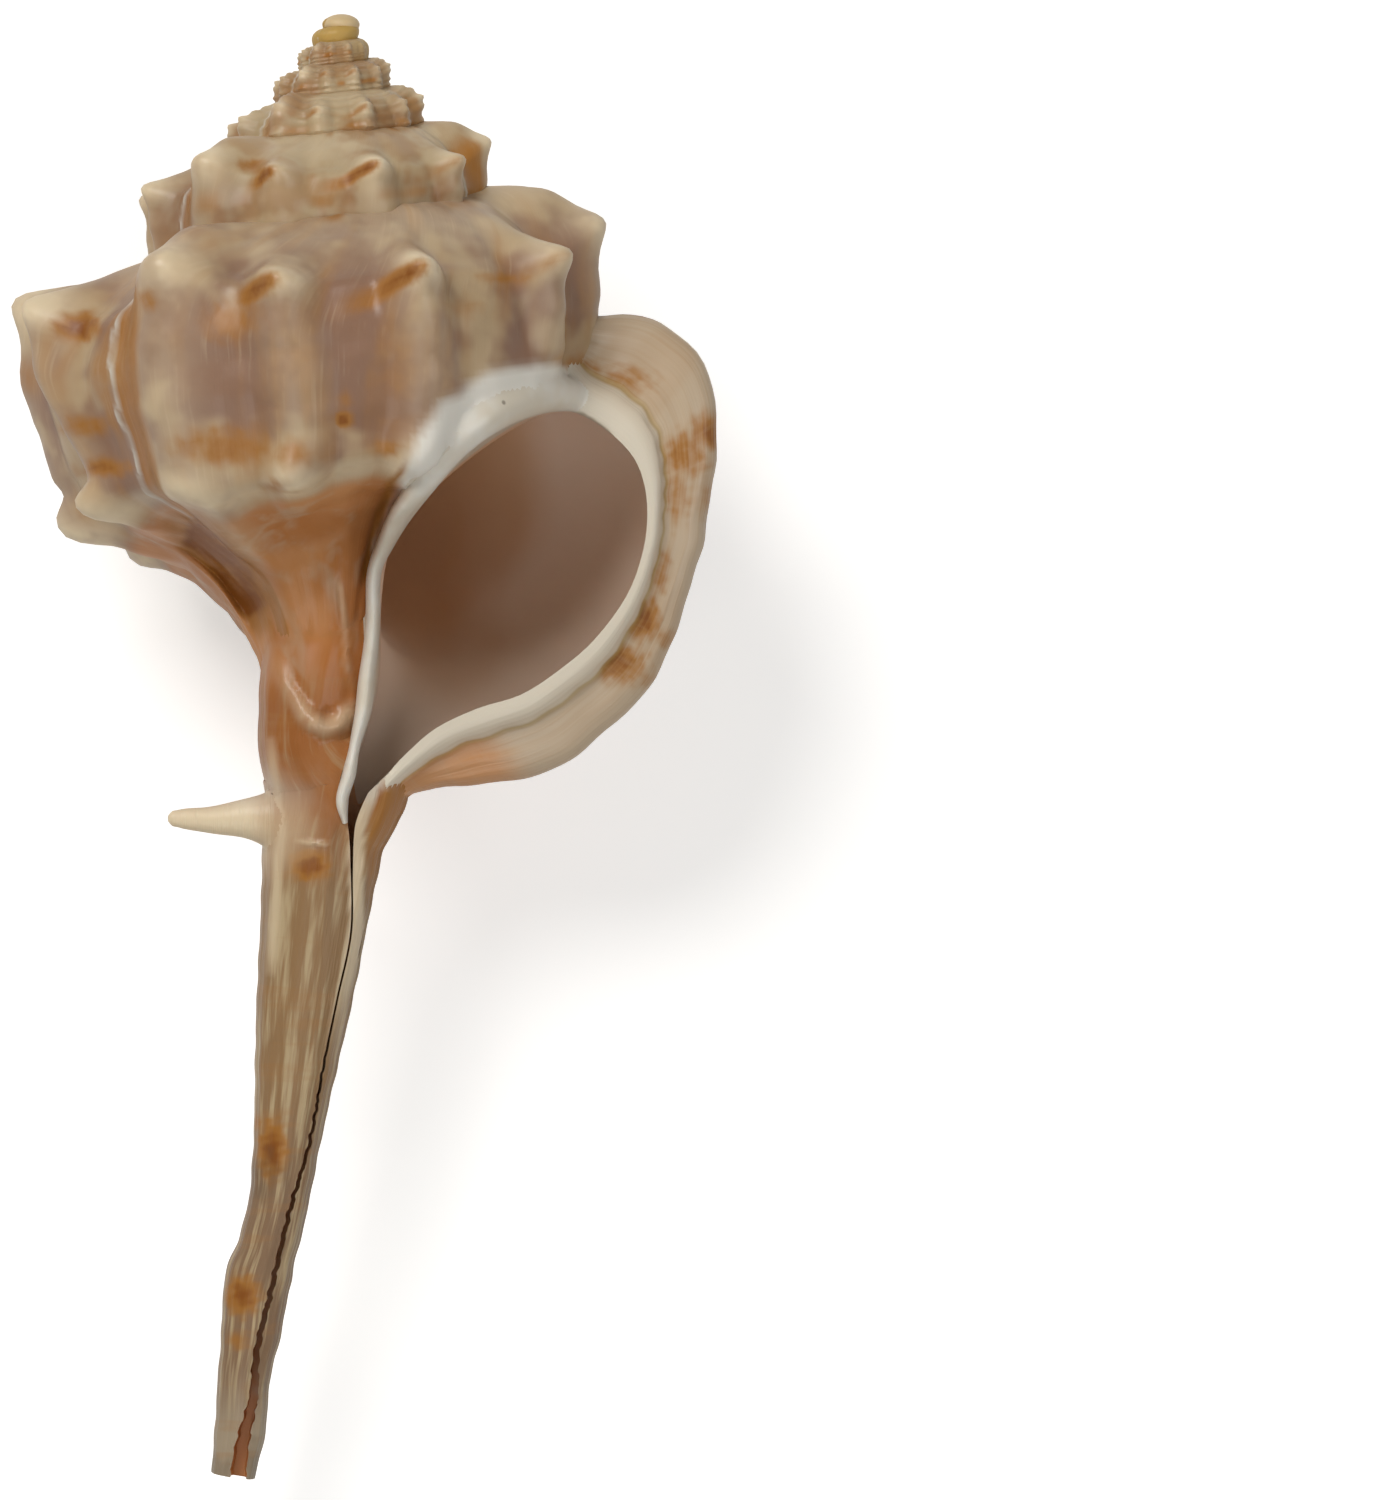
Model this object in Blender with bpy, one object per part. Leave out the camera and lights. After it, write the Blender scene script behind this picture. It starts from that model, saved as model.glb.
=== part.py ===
"""Murex shell: one grown piece, lying on its back with the aperture up.

The shell is drawn upright in its own frame, in millimetres: X to the lip side, Y along the axis
towards the apex (apex at Y = 0), Z out of the aperture. It is then laid down on its back and
turned into metres. `turn` counts whorls back from the lip, so the lip is turn 0.
"""
import math

import bpy
import numpy as np
from mathutils import Matrix, Vector

# ---- driving dimensions, in millimetres, shares and turns
mm = 0.001
lipAngle = math.radians(6)          # half-plane of the lip, measured from X towards Z
stepsPerTurn = 48                   # sections per whorl, so each rib crest falls on a section
sectorSteps = 22                    # sections per sector

wholeTurns = [-6.6, -6, -5, -4, -3, -2, -1, 0]
whorlRadius = [0.62, 0.88, 1.32, 2.07, 3.38, 5.95, 10.4, 15.0]
sutureDepth = [0.10, 0.35, 1.0, 1.94, 3.20, 4.88, 7.92, 14.4]

# whorl section, suture to base: place along it, radius share, drop share
bodySection = np.array([
    [0.00, 0.45, -0.03], [0.06, 0.62, 0.00], [0.12, 0.74, 0.07], [0.19, 0.855, 0.175],
    [0.26, 0.945, 0.295], [0.34, 1.00, 0.43], [0.43, 1.00, 0.585], [0.52, 0.965, 0.76],
    [0.60, 0.90, 0.92], [0.68, 0.74, 1.03], [0.76, 0.54, 1.11], [0.83, 0.39, 1.20],
    [0.90, 0.31, 1.34], [1.00, 0.27, 1.60]])
lipSection = np.array([
    [0.00, 0.50, -0.02], [0.06, 0.66, -0.01], [0.12, 0.76, 0.00], [0.19, 0.86, 0.035],
    [0.26, 0.955, 0.13], [0.34, 1.00, 0.31], [0.43, 0.985, 0.51], [0.52, 0.94, 0.70],
    [0.60, 0.865, 0.89], [0.68, 0.75, 1.06], [0.76, 0.57, 1.20], [0.83, 0.38, 1.255],
    [0.90, 0.22, 1.30], [1.00, 0.10, 1.42]])
# how far varices, ribs and their outward knobs stand out, as shares of the whorl radius
varixRise = [0, 0.03, 0.075, 0.115, 0.15, 0.125, 0.12, 0.115, 0.13, 0.13, 0.10, 0.06, 0.02, 0]
ribRise = [0, 0, 0.01, 0.03, 0.085, 0.07, 0.05, 0.05, 0.07, 0.02, 0, 0, 0, 0]
knobRise = [0, 0, 0, 0.02, 0.08, 0.01, 0, 0, 0.045, 0, 0, 0, 0, 0]
varixLift = [0, 0, 0.04, 0.09, 0.09, 0.04, 0, 0, 0, 0, 0, 0, 0, 0]

# edge of the aperture in X and Y, from its top round the outer lip to the canal and back
mouthEdge = np.array([
    [10.2, -17.4], [11.7, -18.15], [13.0, -19.3], [13.6, -20.5], [13.8, -22.0], [13.6, -23.7],
    [12.9, -25.6], [11.5, -27.5], [10.0, -28.8], [8.3, -29.9], [6.4, -30.5], [4.6, -31.35],
    [3.3, -32.45], [2.2, -33.6], [1.2, -34.7], [0.66, -35.3], [0.42, -34.4], [0.62, -33.2],
    [1.05, -32.2], [1.42, -31.0], [1.75, -29.6], [1.88, -28.1], [1.82, -26.4], [1.80, -24.9],
    [2.2, -23.5], [3.3, -21.8], [5.4, -19.8], [7.6, -18.2], [9.0, -17.55]])
# lip face: how far each ring stands forward, and its share of the way in to the aperture edge
lipRings = [(0.0, 0.0), (0.30, 0.04), (0.62, 0.14), (0.85, 0.30), (1.15, 0.60), (1.5, 0.68),
            (1.85, 0.78), (2.0, 0.985)]
# where on the aperture edge each knot of the section ends
lipPlaces = [-0.9, -0.3, 0.2, 0.9, 1.9, 3.0, 4.1, 5.5, 6.7, 8.1, 9.8, 11.3, 12.8, 14.4]

# siphonal canal: Y, X, half width, Z, half depth
canal = np.array([
    [-25.7, -0.55, 1.90, 0.30, 2.00], [-30.1, -1.23, 2.20, 0.40, 2.50],
    [-31.9, -1.20, 2.30, 0.40, 2.60], [-32.9, -0.75, 2.75, 0.35, 2.65],
    [-33.8, -0.10, 3.25, 0.30, 2.65], [-34.7, -0.25, 3.00, 0.30, 2.60],
    [-36.0, -0.62, 2.72, 0.25, 2.50], [-37.7, -0.82, 2.52, 0.20, 2.35],
    [-41.6, -1.28, 2.20, 0.10, 2.05], [-46.1, -1.85, 1.80, 0.00, 1.70],
    [-50.1, -2.33, 1.41, -0.10, 1.40], [-52.5, -2.68, 1.32, -0.20, 1.30],
    [-54.1, -3.08, 1.32, -0.25, 1.28], [-55.5, -3.50, 1.43, -0.30, 1.25],
    [-58.1, -3.87, 1.30, -0.45, 1.20], [-60.1, -4.18, 1.14, -0.55, 1.10],
    [-62.0, -4.31, 1.10, -0.70, 1.00], [-64.3, -4.66, 0.95, -0.85, 0.90]])
# the slit along the canal: Y, X, half width
slit = np.array([
    [-32.9, 1.60, 0.80], [-33.7, 1.15, 0.55], [-34.6, 0.85, 0.36], [-35.8, 0.68, 0.18], [-37.7, 0.66, 0.12], [-40.3, 0.62, 0.12], [-43.3, 0.00, 0.12],
    [-46.3, -0.62, 0.12], [-49.6, -1.23, 0.12], [-52.5, -2.07, 0.13], [-56.0, -2.90, 0.15],
    [-59.1, -3.60, 0.17], [-60.7, -3.70, 0.20], [-62.7, -4.18, 0.30], [-65.2, -4.50, 0.35]])
# erect edge of the inner lip: X, Y, Z, half across, half deep
callus = np.array([
    [10.9, -17.15, 3.1, 0.20, 0.4], [10.3, -16.95, 3.6, 0.40, 0.7], [9.5, -16.95, 4.4, 0.44, 0.9],
    [7.9, -17.4, 6.0, 0.44, 0.9], [6.4, -18.4, 7.0, 0.44, 0.9], [5.2, -19.5, 6.3, 0.46, 1.0],
    [4.1, -20.8, 4.9, 0.50, 1.1], [3.1, -21.9, 3.8, 0.46, 1.1], [2.25, -23.1, 3.2, 0.40, 1.0],
    [1.70, -24.5, 2.9, 0.34, 0.95], [1.58, -26.3, 2.8, 0.34, 0.9], [1.48, -28.2, 2.8, 0.36, 0.9],
    [1.28, -29.9, 2.8, 0.38, 0.9], [1.02, -31.2, 2.8, 0.34, 0.85], [0.86, -32.2, 2.8, 0.26, 0.7],
    [0.78, -32.9, 2.7, 0.18, 0.5]])
# canal spine: distance out along minus X, half size
spine = np.array([[2.6, 1.45], [3.35, 1.25], [3.7, 1.12], [4.15, 0.92], [4.6, 0.76], [5.7, 0.56],
                  [7.0, 0.38], [7.42, 0.14]])
# pillar up the axis: Y, radius
pillar = np.array([[-0.3, 0.04], [-1.0, 0.09], [-3.0, 0.20], [-8.0, 0.42], [-15.0, 0.60],
                   [-34.0, 0.85]])
nucleusCentre = (0.15, -0.42, 0.0)
nucleusHalf = (0.80, 0.46)
lumenDepth = -0.95                  # turns the hollow runs back from the lip
restDown = Vector((-0.045, -0.158, -0.986))   # the side it lies on
wornFlat = 0.12                     # depth of the worn flats it rests on


def smoothRead(x, knots, values):
    """Smooth curve through the knots, read at x."""
    xs = np.asarray(knots, float)
    ys = np.asarray(values, float)
    gap = np.diff(xs)
    slope = np.diff(ys) / gap
    tangent = np.zeros(len(xs))
    tangent[1:-1] = (slope[:-1] * gap[1:] + slope[1:] * gap[:-1]) / (xs[2:] - xs[:-2])
    tangent[0] = slope[0]
    tangent[-1] = slope[-1]
    tangent[1:-1] *= slope[:-1] * slope[1:] > 0
    x = np.asarray(x, float)
    i = np.clip(np.searchsorted(xs, x, side="right") - 1, 0, len(xs) - 2)
    h = gap[i]
    s = np.clip((x - xs[i]) / h, 0, 1)
    start = (2 * s**3 - 3 * s**2 + 1) * ys[i] + (s**3 - 2 * s**2 + s) * h * tangent[i]
    end = (3 * s**2 - 2 * s**3) * ys[i + 1] + (s**3 - s**2) * h * tangent[i + 1]
    return start + end


def ease(a, b, x):
    """Smooth step from 0 at a to 1 at b."""
    s = np.clip((x - a) / (b - a), 0, 1)
    return s * s * (3 - 2 * s)


def hump(x, centre, width):
    s = np.clip(np.abs(x - centre) / width, 0, 1)
    return (1 - s * s) ** 2


def whorlSize(turn):
    radius = np.exp(smoothRead(turn, wholeTurns, np.log(whorlRadius)))
    return radius, -smoothRead(turn, wholeTurns, sutureDepth)


def plainSection(turn, across):
    blend = ease(-0.42, -0.02, turn)
    body = [smoothRead(across, bodySection[:, 0], bodySection[:, k]) for k in (1, 2)]
    lip = [smoothRead(across, lipSection[:, 0], lipSection[:, k]) for k in (1, 2)]
    radius, top = whorlSize(turn)
    r = radius * ((1 - blend) * body[0] + blend * lip[0])
    y = top - radius * ((1 - blend) * body[1] + blend * lip[1])
    return r, y, radius


def shellSurface(turn, across):
    """Point on the outside of the shell: plain section plus varices, ribs and their knobs."""
    turn, across = np.broadcast_arrays(turn, across)
    small = 1e-3
    r, y, radius = plainSection(turn, across)
    rNext, yNext, _ = plainSection(turn, np.clip(across + small, 0, 1))
    rLast, yLast, _ = plainSection(turn, np.clip(across - small, 0, 1))
    length = np.hypot(rNext - rLast, yNext - yLast) + 1e-12
    outR = -(yNext - yLast) / length
    outY = (rNext - rLast) / length
    phase = 3 * turn - np.round(3 * turn)
    varix = np.where(phase <= 0, ease(-0.32, -0.02, phase), 1 - ease(0.02, 0.16, phase))
    ribs = 0.8 * hump(phase, -0.25, 0.115) + hump(phase, 0.25, 0.115)
    ribs = ribs + hump(np.abs(phase), 0.5, 0.115)
    rise = varix * smoothRead(across, bodySection[:, 0], varixRise)
    rise = rise + ribs * smoothRead(across, bodySection[:, 0], ribRise)
    early = ease(-4.9, -4.2, turn) * radius
    rise = rise * early
    angle = lipAngle + 2 * math.pi * turn
    r = r + outR * rise + early * ribs * smoothRead(across, bodySection[:, 0], knobRise)
    lift = varix * ease(0.02, -0.2, turn) * smoothRead(across, bodySection[:, 0], varixLift) * early
    # the last whorl bulges on the side away from the lip
    bulge = hump(turn, -0.47, 0.13) * radius
    r = r + 0.045 * bulge * hump(across, 0.36, 0.32)
    lift = lift + 0.11 * bulge * hump(across, 0.24, 0.17)
    return np.stack([r * np.cos(angle), y + outY * rise + lift, r * np.sin(angle)], -1)


def ringFaces(rings, count):
    """Triangles of a closed tube of rings, with a middle point at each end."""
    i = np.arange(rings - 1)[:, None] * count
    j = np.arange(count)[None, :]
    k = (j + 1) % count
    a, b = (i + j).ravel(), (i + k).ravel()
    c, d = (i + count + k).ravel(), (i + count + j).ravel()
    j, k = j[0], k[0]
    start = np.full(count, rings * count)
    last = (rings - 1) * count
    return np.concatenate([np.stack([a, b, c], 1), np.stack([a, c, d], 1),
                           np.stack([k, j, start], 1), np.stack([last + j, last + k, start + 1], 1)])


def ringSolid(rings):
    points = np.concatenate([rings.reshape(-1, 3), rings[:1].mean(1), rings[-1:].mean(1)])
    return points, ringFaces(rings.shape[0], rings.shape[1])


def tubeSolid(path, halfAcross, halfDeep, across, count):
    along = np.gradient(path, axis=0)
    along /= np.linalg.norm(along, axis=1)[:, None]
    side = np.broadcast_to(np.asarray(across, float), path.shape)
    side = side - (side * along).sum(1)[:, None] * along
    side /= np.linalg.norm(side, axis=1)[:, None]
    deep = np.cross(side, along)
    angle = 2 * math.pi * np.arange(count) / count
    rings = path[:, None, :] + side[:, None, :] * (halfAcross[:, None] * np.cos(angle))[:, :, None]
    rings = rings + deep[:, None, :] * (halfDeep[:, None] * np.sin(angle))[:, :, None]
    return ringSolid(rings)


def sectionStack(rings, count):
    """Solid from rings that run down the outside and back up beside the axis."""
    full = 2 * count
    i = np.arange(len(rings) - 1)[:, None] * full
    j = np.arange(full)
    k = (j + 1) % full
    a, b = (i + j).ravel(), (i + k).ravel()
    c, d = (i + full + k).ravel(), (i + full + j).ravel()
    j = np.arange(count - 1)
    m = full - 1 - j
    e = (len(rings) - 1) * full
    faces = [np.stack([a, b, c], 1), np.stack([a, c, d], 1),
             np.stack([j + 1, j, m], 1), np.stack([j + 1, m, m - 1], 1),
             np.stack([e + j, e + j + 1, e + m], 1), np.stack([e + j + 1, e + m - 1, e + m], 1)]
    return rings.reshape(-1, 3), np.concatenate(faces)


def besideAxis(turns, grid):
    """Points that close each section, just off the axis and inside the core."""
    radius = 0.02 * whorlSize(turns)[0][:, None]
    share = np.linspace(0, 1, grid.shape[1])[None, :]
    y = grid[:, :1, 1] * (1 - share) + (grid[:, -1:, 1] - 0.05) * share
    angle = lipAngle + 2 * math.pi * turns[:, None]
    return np.stack([radius * np.cos(angle) + 0 * y, y, radius * np.sin(angle) + 0 * y], -1)


def whorlSector(start, end, steps, across):
    """Solid sector of one half whorl, from its outside in to the core."""
    turns = np.linspace(start, end, steps + 1)
    tongue = start - 0.4 / stepsPerTurn
    turns = np.concatenate([[tongue], turns])
    grid = shellSurface(turns[:, None], across[None, :])
    rings = np.concatenate([grid, besideAxis(turns, grid)[:, ::-1]], 1)
    # the first ring is a smaller tongue that reaches inside the sector before
    rings[0] += 0.2 * (rings[0].mean(0) - rings[0])
    return sectionStack(rings, len(across))


def mouthPoint(place):
    """Smooth closed curve through the aperture edge, read at fractional positions."""
    count = len(mouthEdge)
    i = np.floor(place).astype(int)
    s = (place - i)[..., None]
    a, b, c, d = [mouthEdge[(i + k) % count] for k in (-1, 0, 1, 2)]
    return b + 0.5 * s * (c - a + s * (2 * a - 5 * b + 4 * c - d + s * (3 * (b - c) + d - a)))


def lipFace(across):
    """Leading face of the last varix, drawn in to the thin rim of the aperture."""
    outline = shellSurface(np.zeros((1, 1)), across[None, :])
    inner = besideAxis(np.zeros(1), outline)[0, ::-1]
    outline = outline[0]
    forward = np.array([-math.sin(lipAngle), 0, math.cos(lipAngle)])
    target = mouthPoint(np.array(lipPlaces))
    target = np.stack([target[:, 0], target[:, 1], target[:, 0] * math.tan(lipAngle)], 1)
    fade = ease(0.02, 0.16, across) * (1 - 0.5 * ease(0.80, 1.0, across))
    fade = (0.35 + 0.65 * fade)[:, None]
    tongue = np.concatenate([outline, inner])
    tongue = tongue + 0.2 * (tongue.mean(0) - tongue) - 0.2 * forward
    rings = [tongue]
    for ahead, inward in lipRings:
        moved = outline + (target - outline) * inward * fade
        rings.append(np.concatenate([moved, inner]) + forward * ahead)
    return sectionStack(np.stack(rings), len(across))


def core(rings, count):
    """Solid pillar up the axis that the whorls close on."""
    y = np.linspace(pillar[0, 0], pillar[-1, 0], rings)
    half = smoothRead(-y, -pillar[:, 0], pillar[:, 1])
    return tubeSolid(np.stack([0 * y, y, 0 * y], 1), half, half, (1, 0, 0), count)


def canalTube(rings, count):
    y = np.linspace(canal[0, 0], canal[-1, 0], rings)
    x, half, z, deep = [smoothRead(-y, -canal[:, 0], canal[:, k]) for k in (1, 2, 3, 4)]
    return tubeSolid(np.stack([x, y, z], 1), half, deep, (1, 0, 0), count)


def slitCutter(rings):
    """Narrow slit at the front of the canal, widening to the round bore behind it."""
    y = np.linspace(slit[0, 0], slit[-1, 0], rings)
    x, half = [smoothRead(-y, -slit[:, 0], slit[:, k]) for k in (1, 2)]
    z, deep = [smoothRead(-y, -canal[:, 0], canal[:, k]) for k in (3, 4)]
    bore = np.maximum(half, 0.24 * deep)
    corners = [(-half, z + deep + 1.6), (-half, z + 0.42 * deep), (-bore, z + 0.12 * deep),
               (-0.7 * bore, z - 0.15 * deep), (0.7 * bore, z - 0.15 * deep),
               (bore, z + 0.12 * deep), (half, z + 0.42 * deep), (half, z + deep + 1.6)]
    return ringSolid(np.stack([np.stack([x + side, y, front], 1) for side, front in corners], 1))


def callusEdge(rings, count):
    place = np.linspace(0, len(callus) - 1, rings)
    x, y, z, half, deep = [smoothRead(place, np.arange(len(callus)), callus[:, k]) for k in range(5)]
    path = np.stack([x, y, z], 1)
    along = np.gradient(path, axis=0)
    return tubeSolid(path, half, deep, np.cross(along, (0, 0, 1.0)), count)


def canalSpine(rings, count):
    out = np.linspace(spine[0, 0], spine[-1, 0], rings)
    half = smoothRead(out, spine[:, 0], spine[:, 1])
    path = np.stack([-out, -35.38 + 0 * out, 0.9 + 0.12 * (out - 2.6)], 1)
    return tubeSolid(path, half, 0.85 * half, (0, 1, 0), count)


def nucleus(rings, count):
    angle = np.linspace(0, math.pi, rings)
    half = np.maximum(np.sin(angle), 0.05) * nucleusHalf[0]
    path = np.array(nucleusCentre) - np.outer(np.cos(angle), (0, nucleusHalf[1], 0))
    return tubeSolid(path, half, half, (1, 0, 0), count)


def lumen(rings, count):
    """Hollow of the last whorl, opening to the outline of the aperture at the lip."""
    turns = lumenDepth * np.linspace(0, 1, rings) ** 1.3
    blend = ease(-0.45, -0.02, turns)
    radius, top = whorlSize(turns)
    centreR = radius * (0.50 + 0.02 * blend)
    centreY = top - radius * (0.50 + 0.155 * blend)
    close = 0.05 + 0.95 * np.sqrt(ease(lumenDepth, lumenDepth + 0.12, turns))
    high = radius * (0.34 + 0.125 * blend) * close
    wide = radius * (0.32 + 0.065 * blend) * close
    lean = 0.1 + 0.26 * blend
    edge = mouthPoint(np.linspace(0, len(mouthEdge), count, endpoint=False))
    middle = edge.mean(0) + np.array([0.6, 1.2])
    angle = np.unwrap(np.arctan2(edge[:, 1] - middle[1], edge[:, 0] - middle[0]))
    even = np.linspace(angle[0], angle[0] - 2 * math.pi, count, endpoint=False)
    angle = (angle + even) / 2
    rise = high[:, None] * np.sin(angle)
    r = centreR[:, None] + wide[:, None] * np.cos(angle) + lean[:, None] * rise
    y = centreY[:, None] + rise
    open_ = ease(-0.16, 0.0, turns)[:, None]
    r = r + (edge[:, 0] / math.cos(lipAngle) - r) * open_
    y = y + (edge[:, 1] - y) * open_
    round_ = lipAngle + 2 * math.pi * turns[:, None]
    inner = np.stack([r * np.cos(round_), y, r * np.sin(round_)], -1)
    forward = np.array([-math.sin(lipAngle), 0, math.cos(lipAngle)])
    middle = inner[0].mean(0)
    mouth = [middle + (inner[0] - middle) * grow + forward * ahead
             for ahead, grow in ((9.0, 1.03), (4.5, 1.03), (2.6, 1.02), (0.8, 1.01))]
    return ringSolid(np.concatenate([np.stack(mouth), inner]))


def addSolid(name, solid, collection):
    points, faces = solid
    a, b, c = [points[faces[:, k]] for k in range(3)]
    if (np.cross(a, b) * c).sum() < 0:
        faces = faces[:, ::-1]
    mesh = bpy.data.meshes.new(name)
    mesh.from_pydata((points * mm).tolist(), [], faces.tolist())
    piece = bpy.data.objects.new(name, mesh)
    collection.objects.link(piece)
    return piece


for old in list(bpy.data.objects):
    bpy.data.objects.remove(old, do_unlink=True)
scene = bpy.context.scene
makers = bpy.data.collections.new("makers")
scene.collection.children.link(makers)

across = bodySection[:, 0]
# sectors of just under half a whorl, so that no two sector ends lie in one plane
pieces = []
for number in range(14, -1, -1):
    end = -number * sectorSteps / stepsPerTurn
    steps = sectorSteps if end > -2.9 else sectorSteps // 2
    start = max(end - sectorSteps / stepsPerTurn, wholeTurns[0])
    pieces.append(whorlSector(start, end, steps, across))
shell = addSolid("murex_shell", pieces[0], scene.collection)
joined = [addSolid("whorl", piece, makers) for piece in pieces[1:]]
joined.append(addSolid("core", core(14, 8), makers))
joined.append(addSolid("lip_face", lipFace(across), makers))
joined.append(addSolid("canal", canalTube(26, 14), makers))
joined.append(addSolid("canal_spine", canalSpine(8, 8), makers))
joined.append(addSolid("nucleus", nucleus(7, 12), makers))
cutters = [addSolid("lumen", lumen(26, 29), makers), addSolid("slit", slitCutter(30), makers)]
# the erect inner lip goes on after the hollow, so it overhangs the aperture cleanly
added = [addSolid("callus_edge", callusEdge(31, 8), makers)]

# lay the shell on its back, then settle it on small worn flats
lay = restDown.normalized().rotation_difference(Vector((0, 0, -1))).to_matrix().to_4x4()
for piece in [shell] + joined + cutters + added:
    piece.data.transform(lay)

for number, piece in enumerate(joined + cutters + added):
    cut = shell.modifiers.new("join%02d" % number, "BOOLEAN")
    cut.operation = "DIFFERENCE" if piece in cutters else "UNION"
    cut.solver = "MANIFOLD"
    cut.object = piece
    piece.hide_render = True
    piece.display_type = "WIRE"

view = bpy.context.evaluated_depsgraph_get()
solid = bpy.data.meshes.new_from_object(shell.evaluated_get(view))
shell.modifiers.clear()
shell.data = solid
points = np.zeros(len(solid.vertices) * 3)
solid.vertices.foreach_get("co", points)
points = points.reshape(-1, 3)
low, high = points.min(0), points.max(0)
centre = (low + high) / 2
solid.transform(Matrix.Translation((-centre[0], -centre[1], -(low[2] + wornFlat * mm))))

# the ground the nodes are worn flat on
size = 60 * mm
bpy.ops.mesh.primitive_cube_add(size=size, location=(0, 0, -size / 2))
ground = bpy.context.object
ground.name = "ground"
for old in list(ground.users_collection):
    old.objects.unlink(ground)
makers.objects.link(ground)
ground.hide_render = True
ground.display_type = "WIRE"
wear = shell.modifiers.new("wear", "BOOLEAN")
wear.operation = "DIFFERENCE"
wear.solver = "MANIFOLD"
wear.object = ground

material = bpy.data.materials.new("shell_aragonite")
material.use_nodes = True
principled = material.node_tree.nodes["Principled BSDF"]
principled.inputs["Base Color"].default_value = (0.78, 0.62, 0.50, 1)
principled.inputs["Roughness"].default_value = 0.35
shell.data.materials.clear()
shell.data.materials.append(material)
for piece in joined + cutters + added:
    bpy.data.objects.remove(piece, do_unlink=True)
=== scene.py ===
import math

import bpy
import numpy as np
from mathutils import Matrix, Vector


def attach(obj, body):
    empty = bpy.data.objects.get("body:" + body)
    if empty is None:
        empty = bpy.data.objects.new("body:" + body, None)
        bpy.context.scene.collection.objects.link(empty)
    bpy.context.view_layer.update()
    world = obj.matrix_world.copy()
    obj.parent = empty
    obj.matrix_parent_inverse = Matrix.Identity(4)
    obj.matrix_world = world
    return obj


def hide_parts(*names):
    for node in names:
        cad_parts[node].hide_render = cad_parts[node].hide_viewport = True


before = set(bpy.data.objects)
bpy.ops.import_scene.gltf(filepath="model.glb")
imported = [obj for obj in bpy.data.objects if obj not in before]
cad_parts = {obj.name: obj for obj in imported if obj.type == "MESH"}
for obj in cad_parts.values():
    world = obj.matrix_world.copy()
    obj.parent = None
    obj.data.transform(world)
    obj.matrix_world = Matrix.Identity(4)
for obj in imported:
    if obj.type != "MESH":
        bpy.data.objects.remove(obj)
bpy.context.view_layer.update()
print("stage: frame loaded")

mm = 0.001
lipAngle = math.radians(6)

# the coil: whorl radius and suture depth at whole turns back from the lip, in millimetres
coil = {
    "turns": [-6.6, -6, -5, -4, -3, -2, -1, 0],
    "radius": [0.62, 0.88, 1.32, 2.07, 3.38, 5.95, 10.4, 15.0],
    "suture": [0.10, 0.35, 1.0, 1.94, 3.20, 4.88, 7.92, 14.4],
    "stepsPerTurn": 264,
    "acrossSteps": 84,
    "sector": 22 / 48,        # turns in each of the solids that are joined
    "coarseBefore": -2.9,     # half as many steps on the small whorls before this turn
}
# whorl section from suture to base: place along it, radius share, drop share
bodySection = np.array([
    [0.00, 0.45, -0.03], [0.06, 0.62, 0.00], [0.12, 0.74, 0.07], [0.19, 0.855, 0.175],
    [0.26, 0.945, 0.295], [0.34, 1.00, 0.43], [0.43, 1.00, 0.585], [0.52, 0.965, 0.76],
    [0.60, 0.90, 0.92], [0.68, 0.74, 1.03], [0.76, 0.54, 1.11], [0.83, 0.385, 1.20],
    [0.90, 0.295, 1.34], [1.00, 0.225, 1.60]])
lipSection = np.array([
    [0.00, 0.50, -0.02], [0.06, 0.66, -0.01], [0.12, 0.76, 0.00], [0.19, 0.86, 0.035],
    [0.26, 0.955, 0.13], [0.34, 1.00, 0.31], [0.43, 0.985, 0.51], [0.52, 0.94, 0.70],
    [0.60, 0.865, 0.89], [0.68, 0.75, 1.06], [0.76, 0.57, 1.20], [0.83, 0.38, 1.255],
    [0.90, 0.22, 1.30], [1.00, 0.10, 1.42]])
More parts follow.
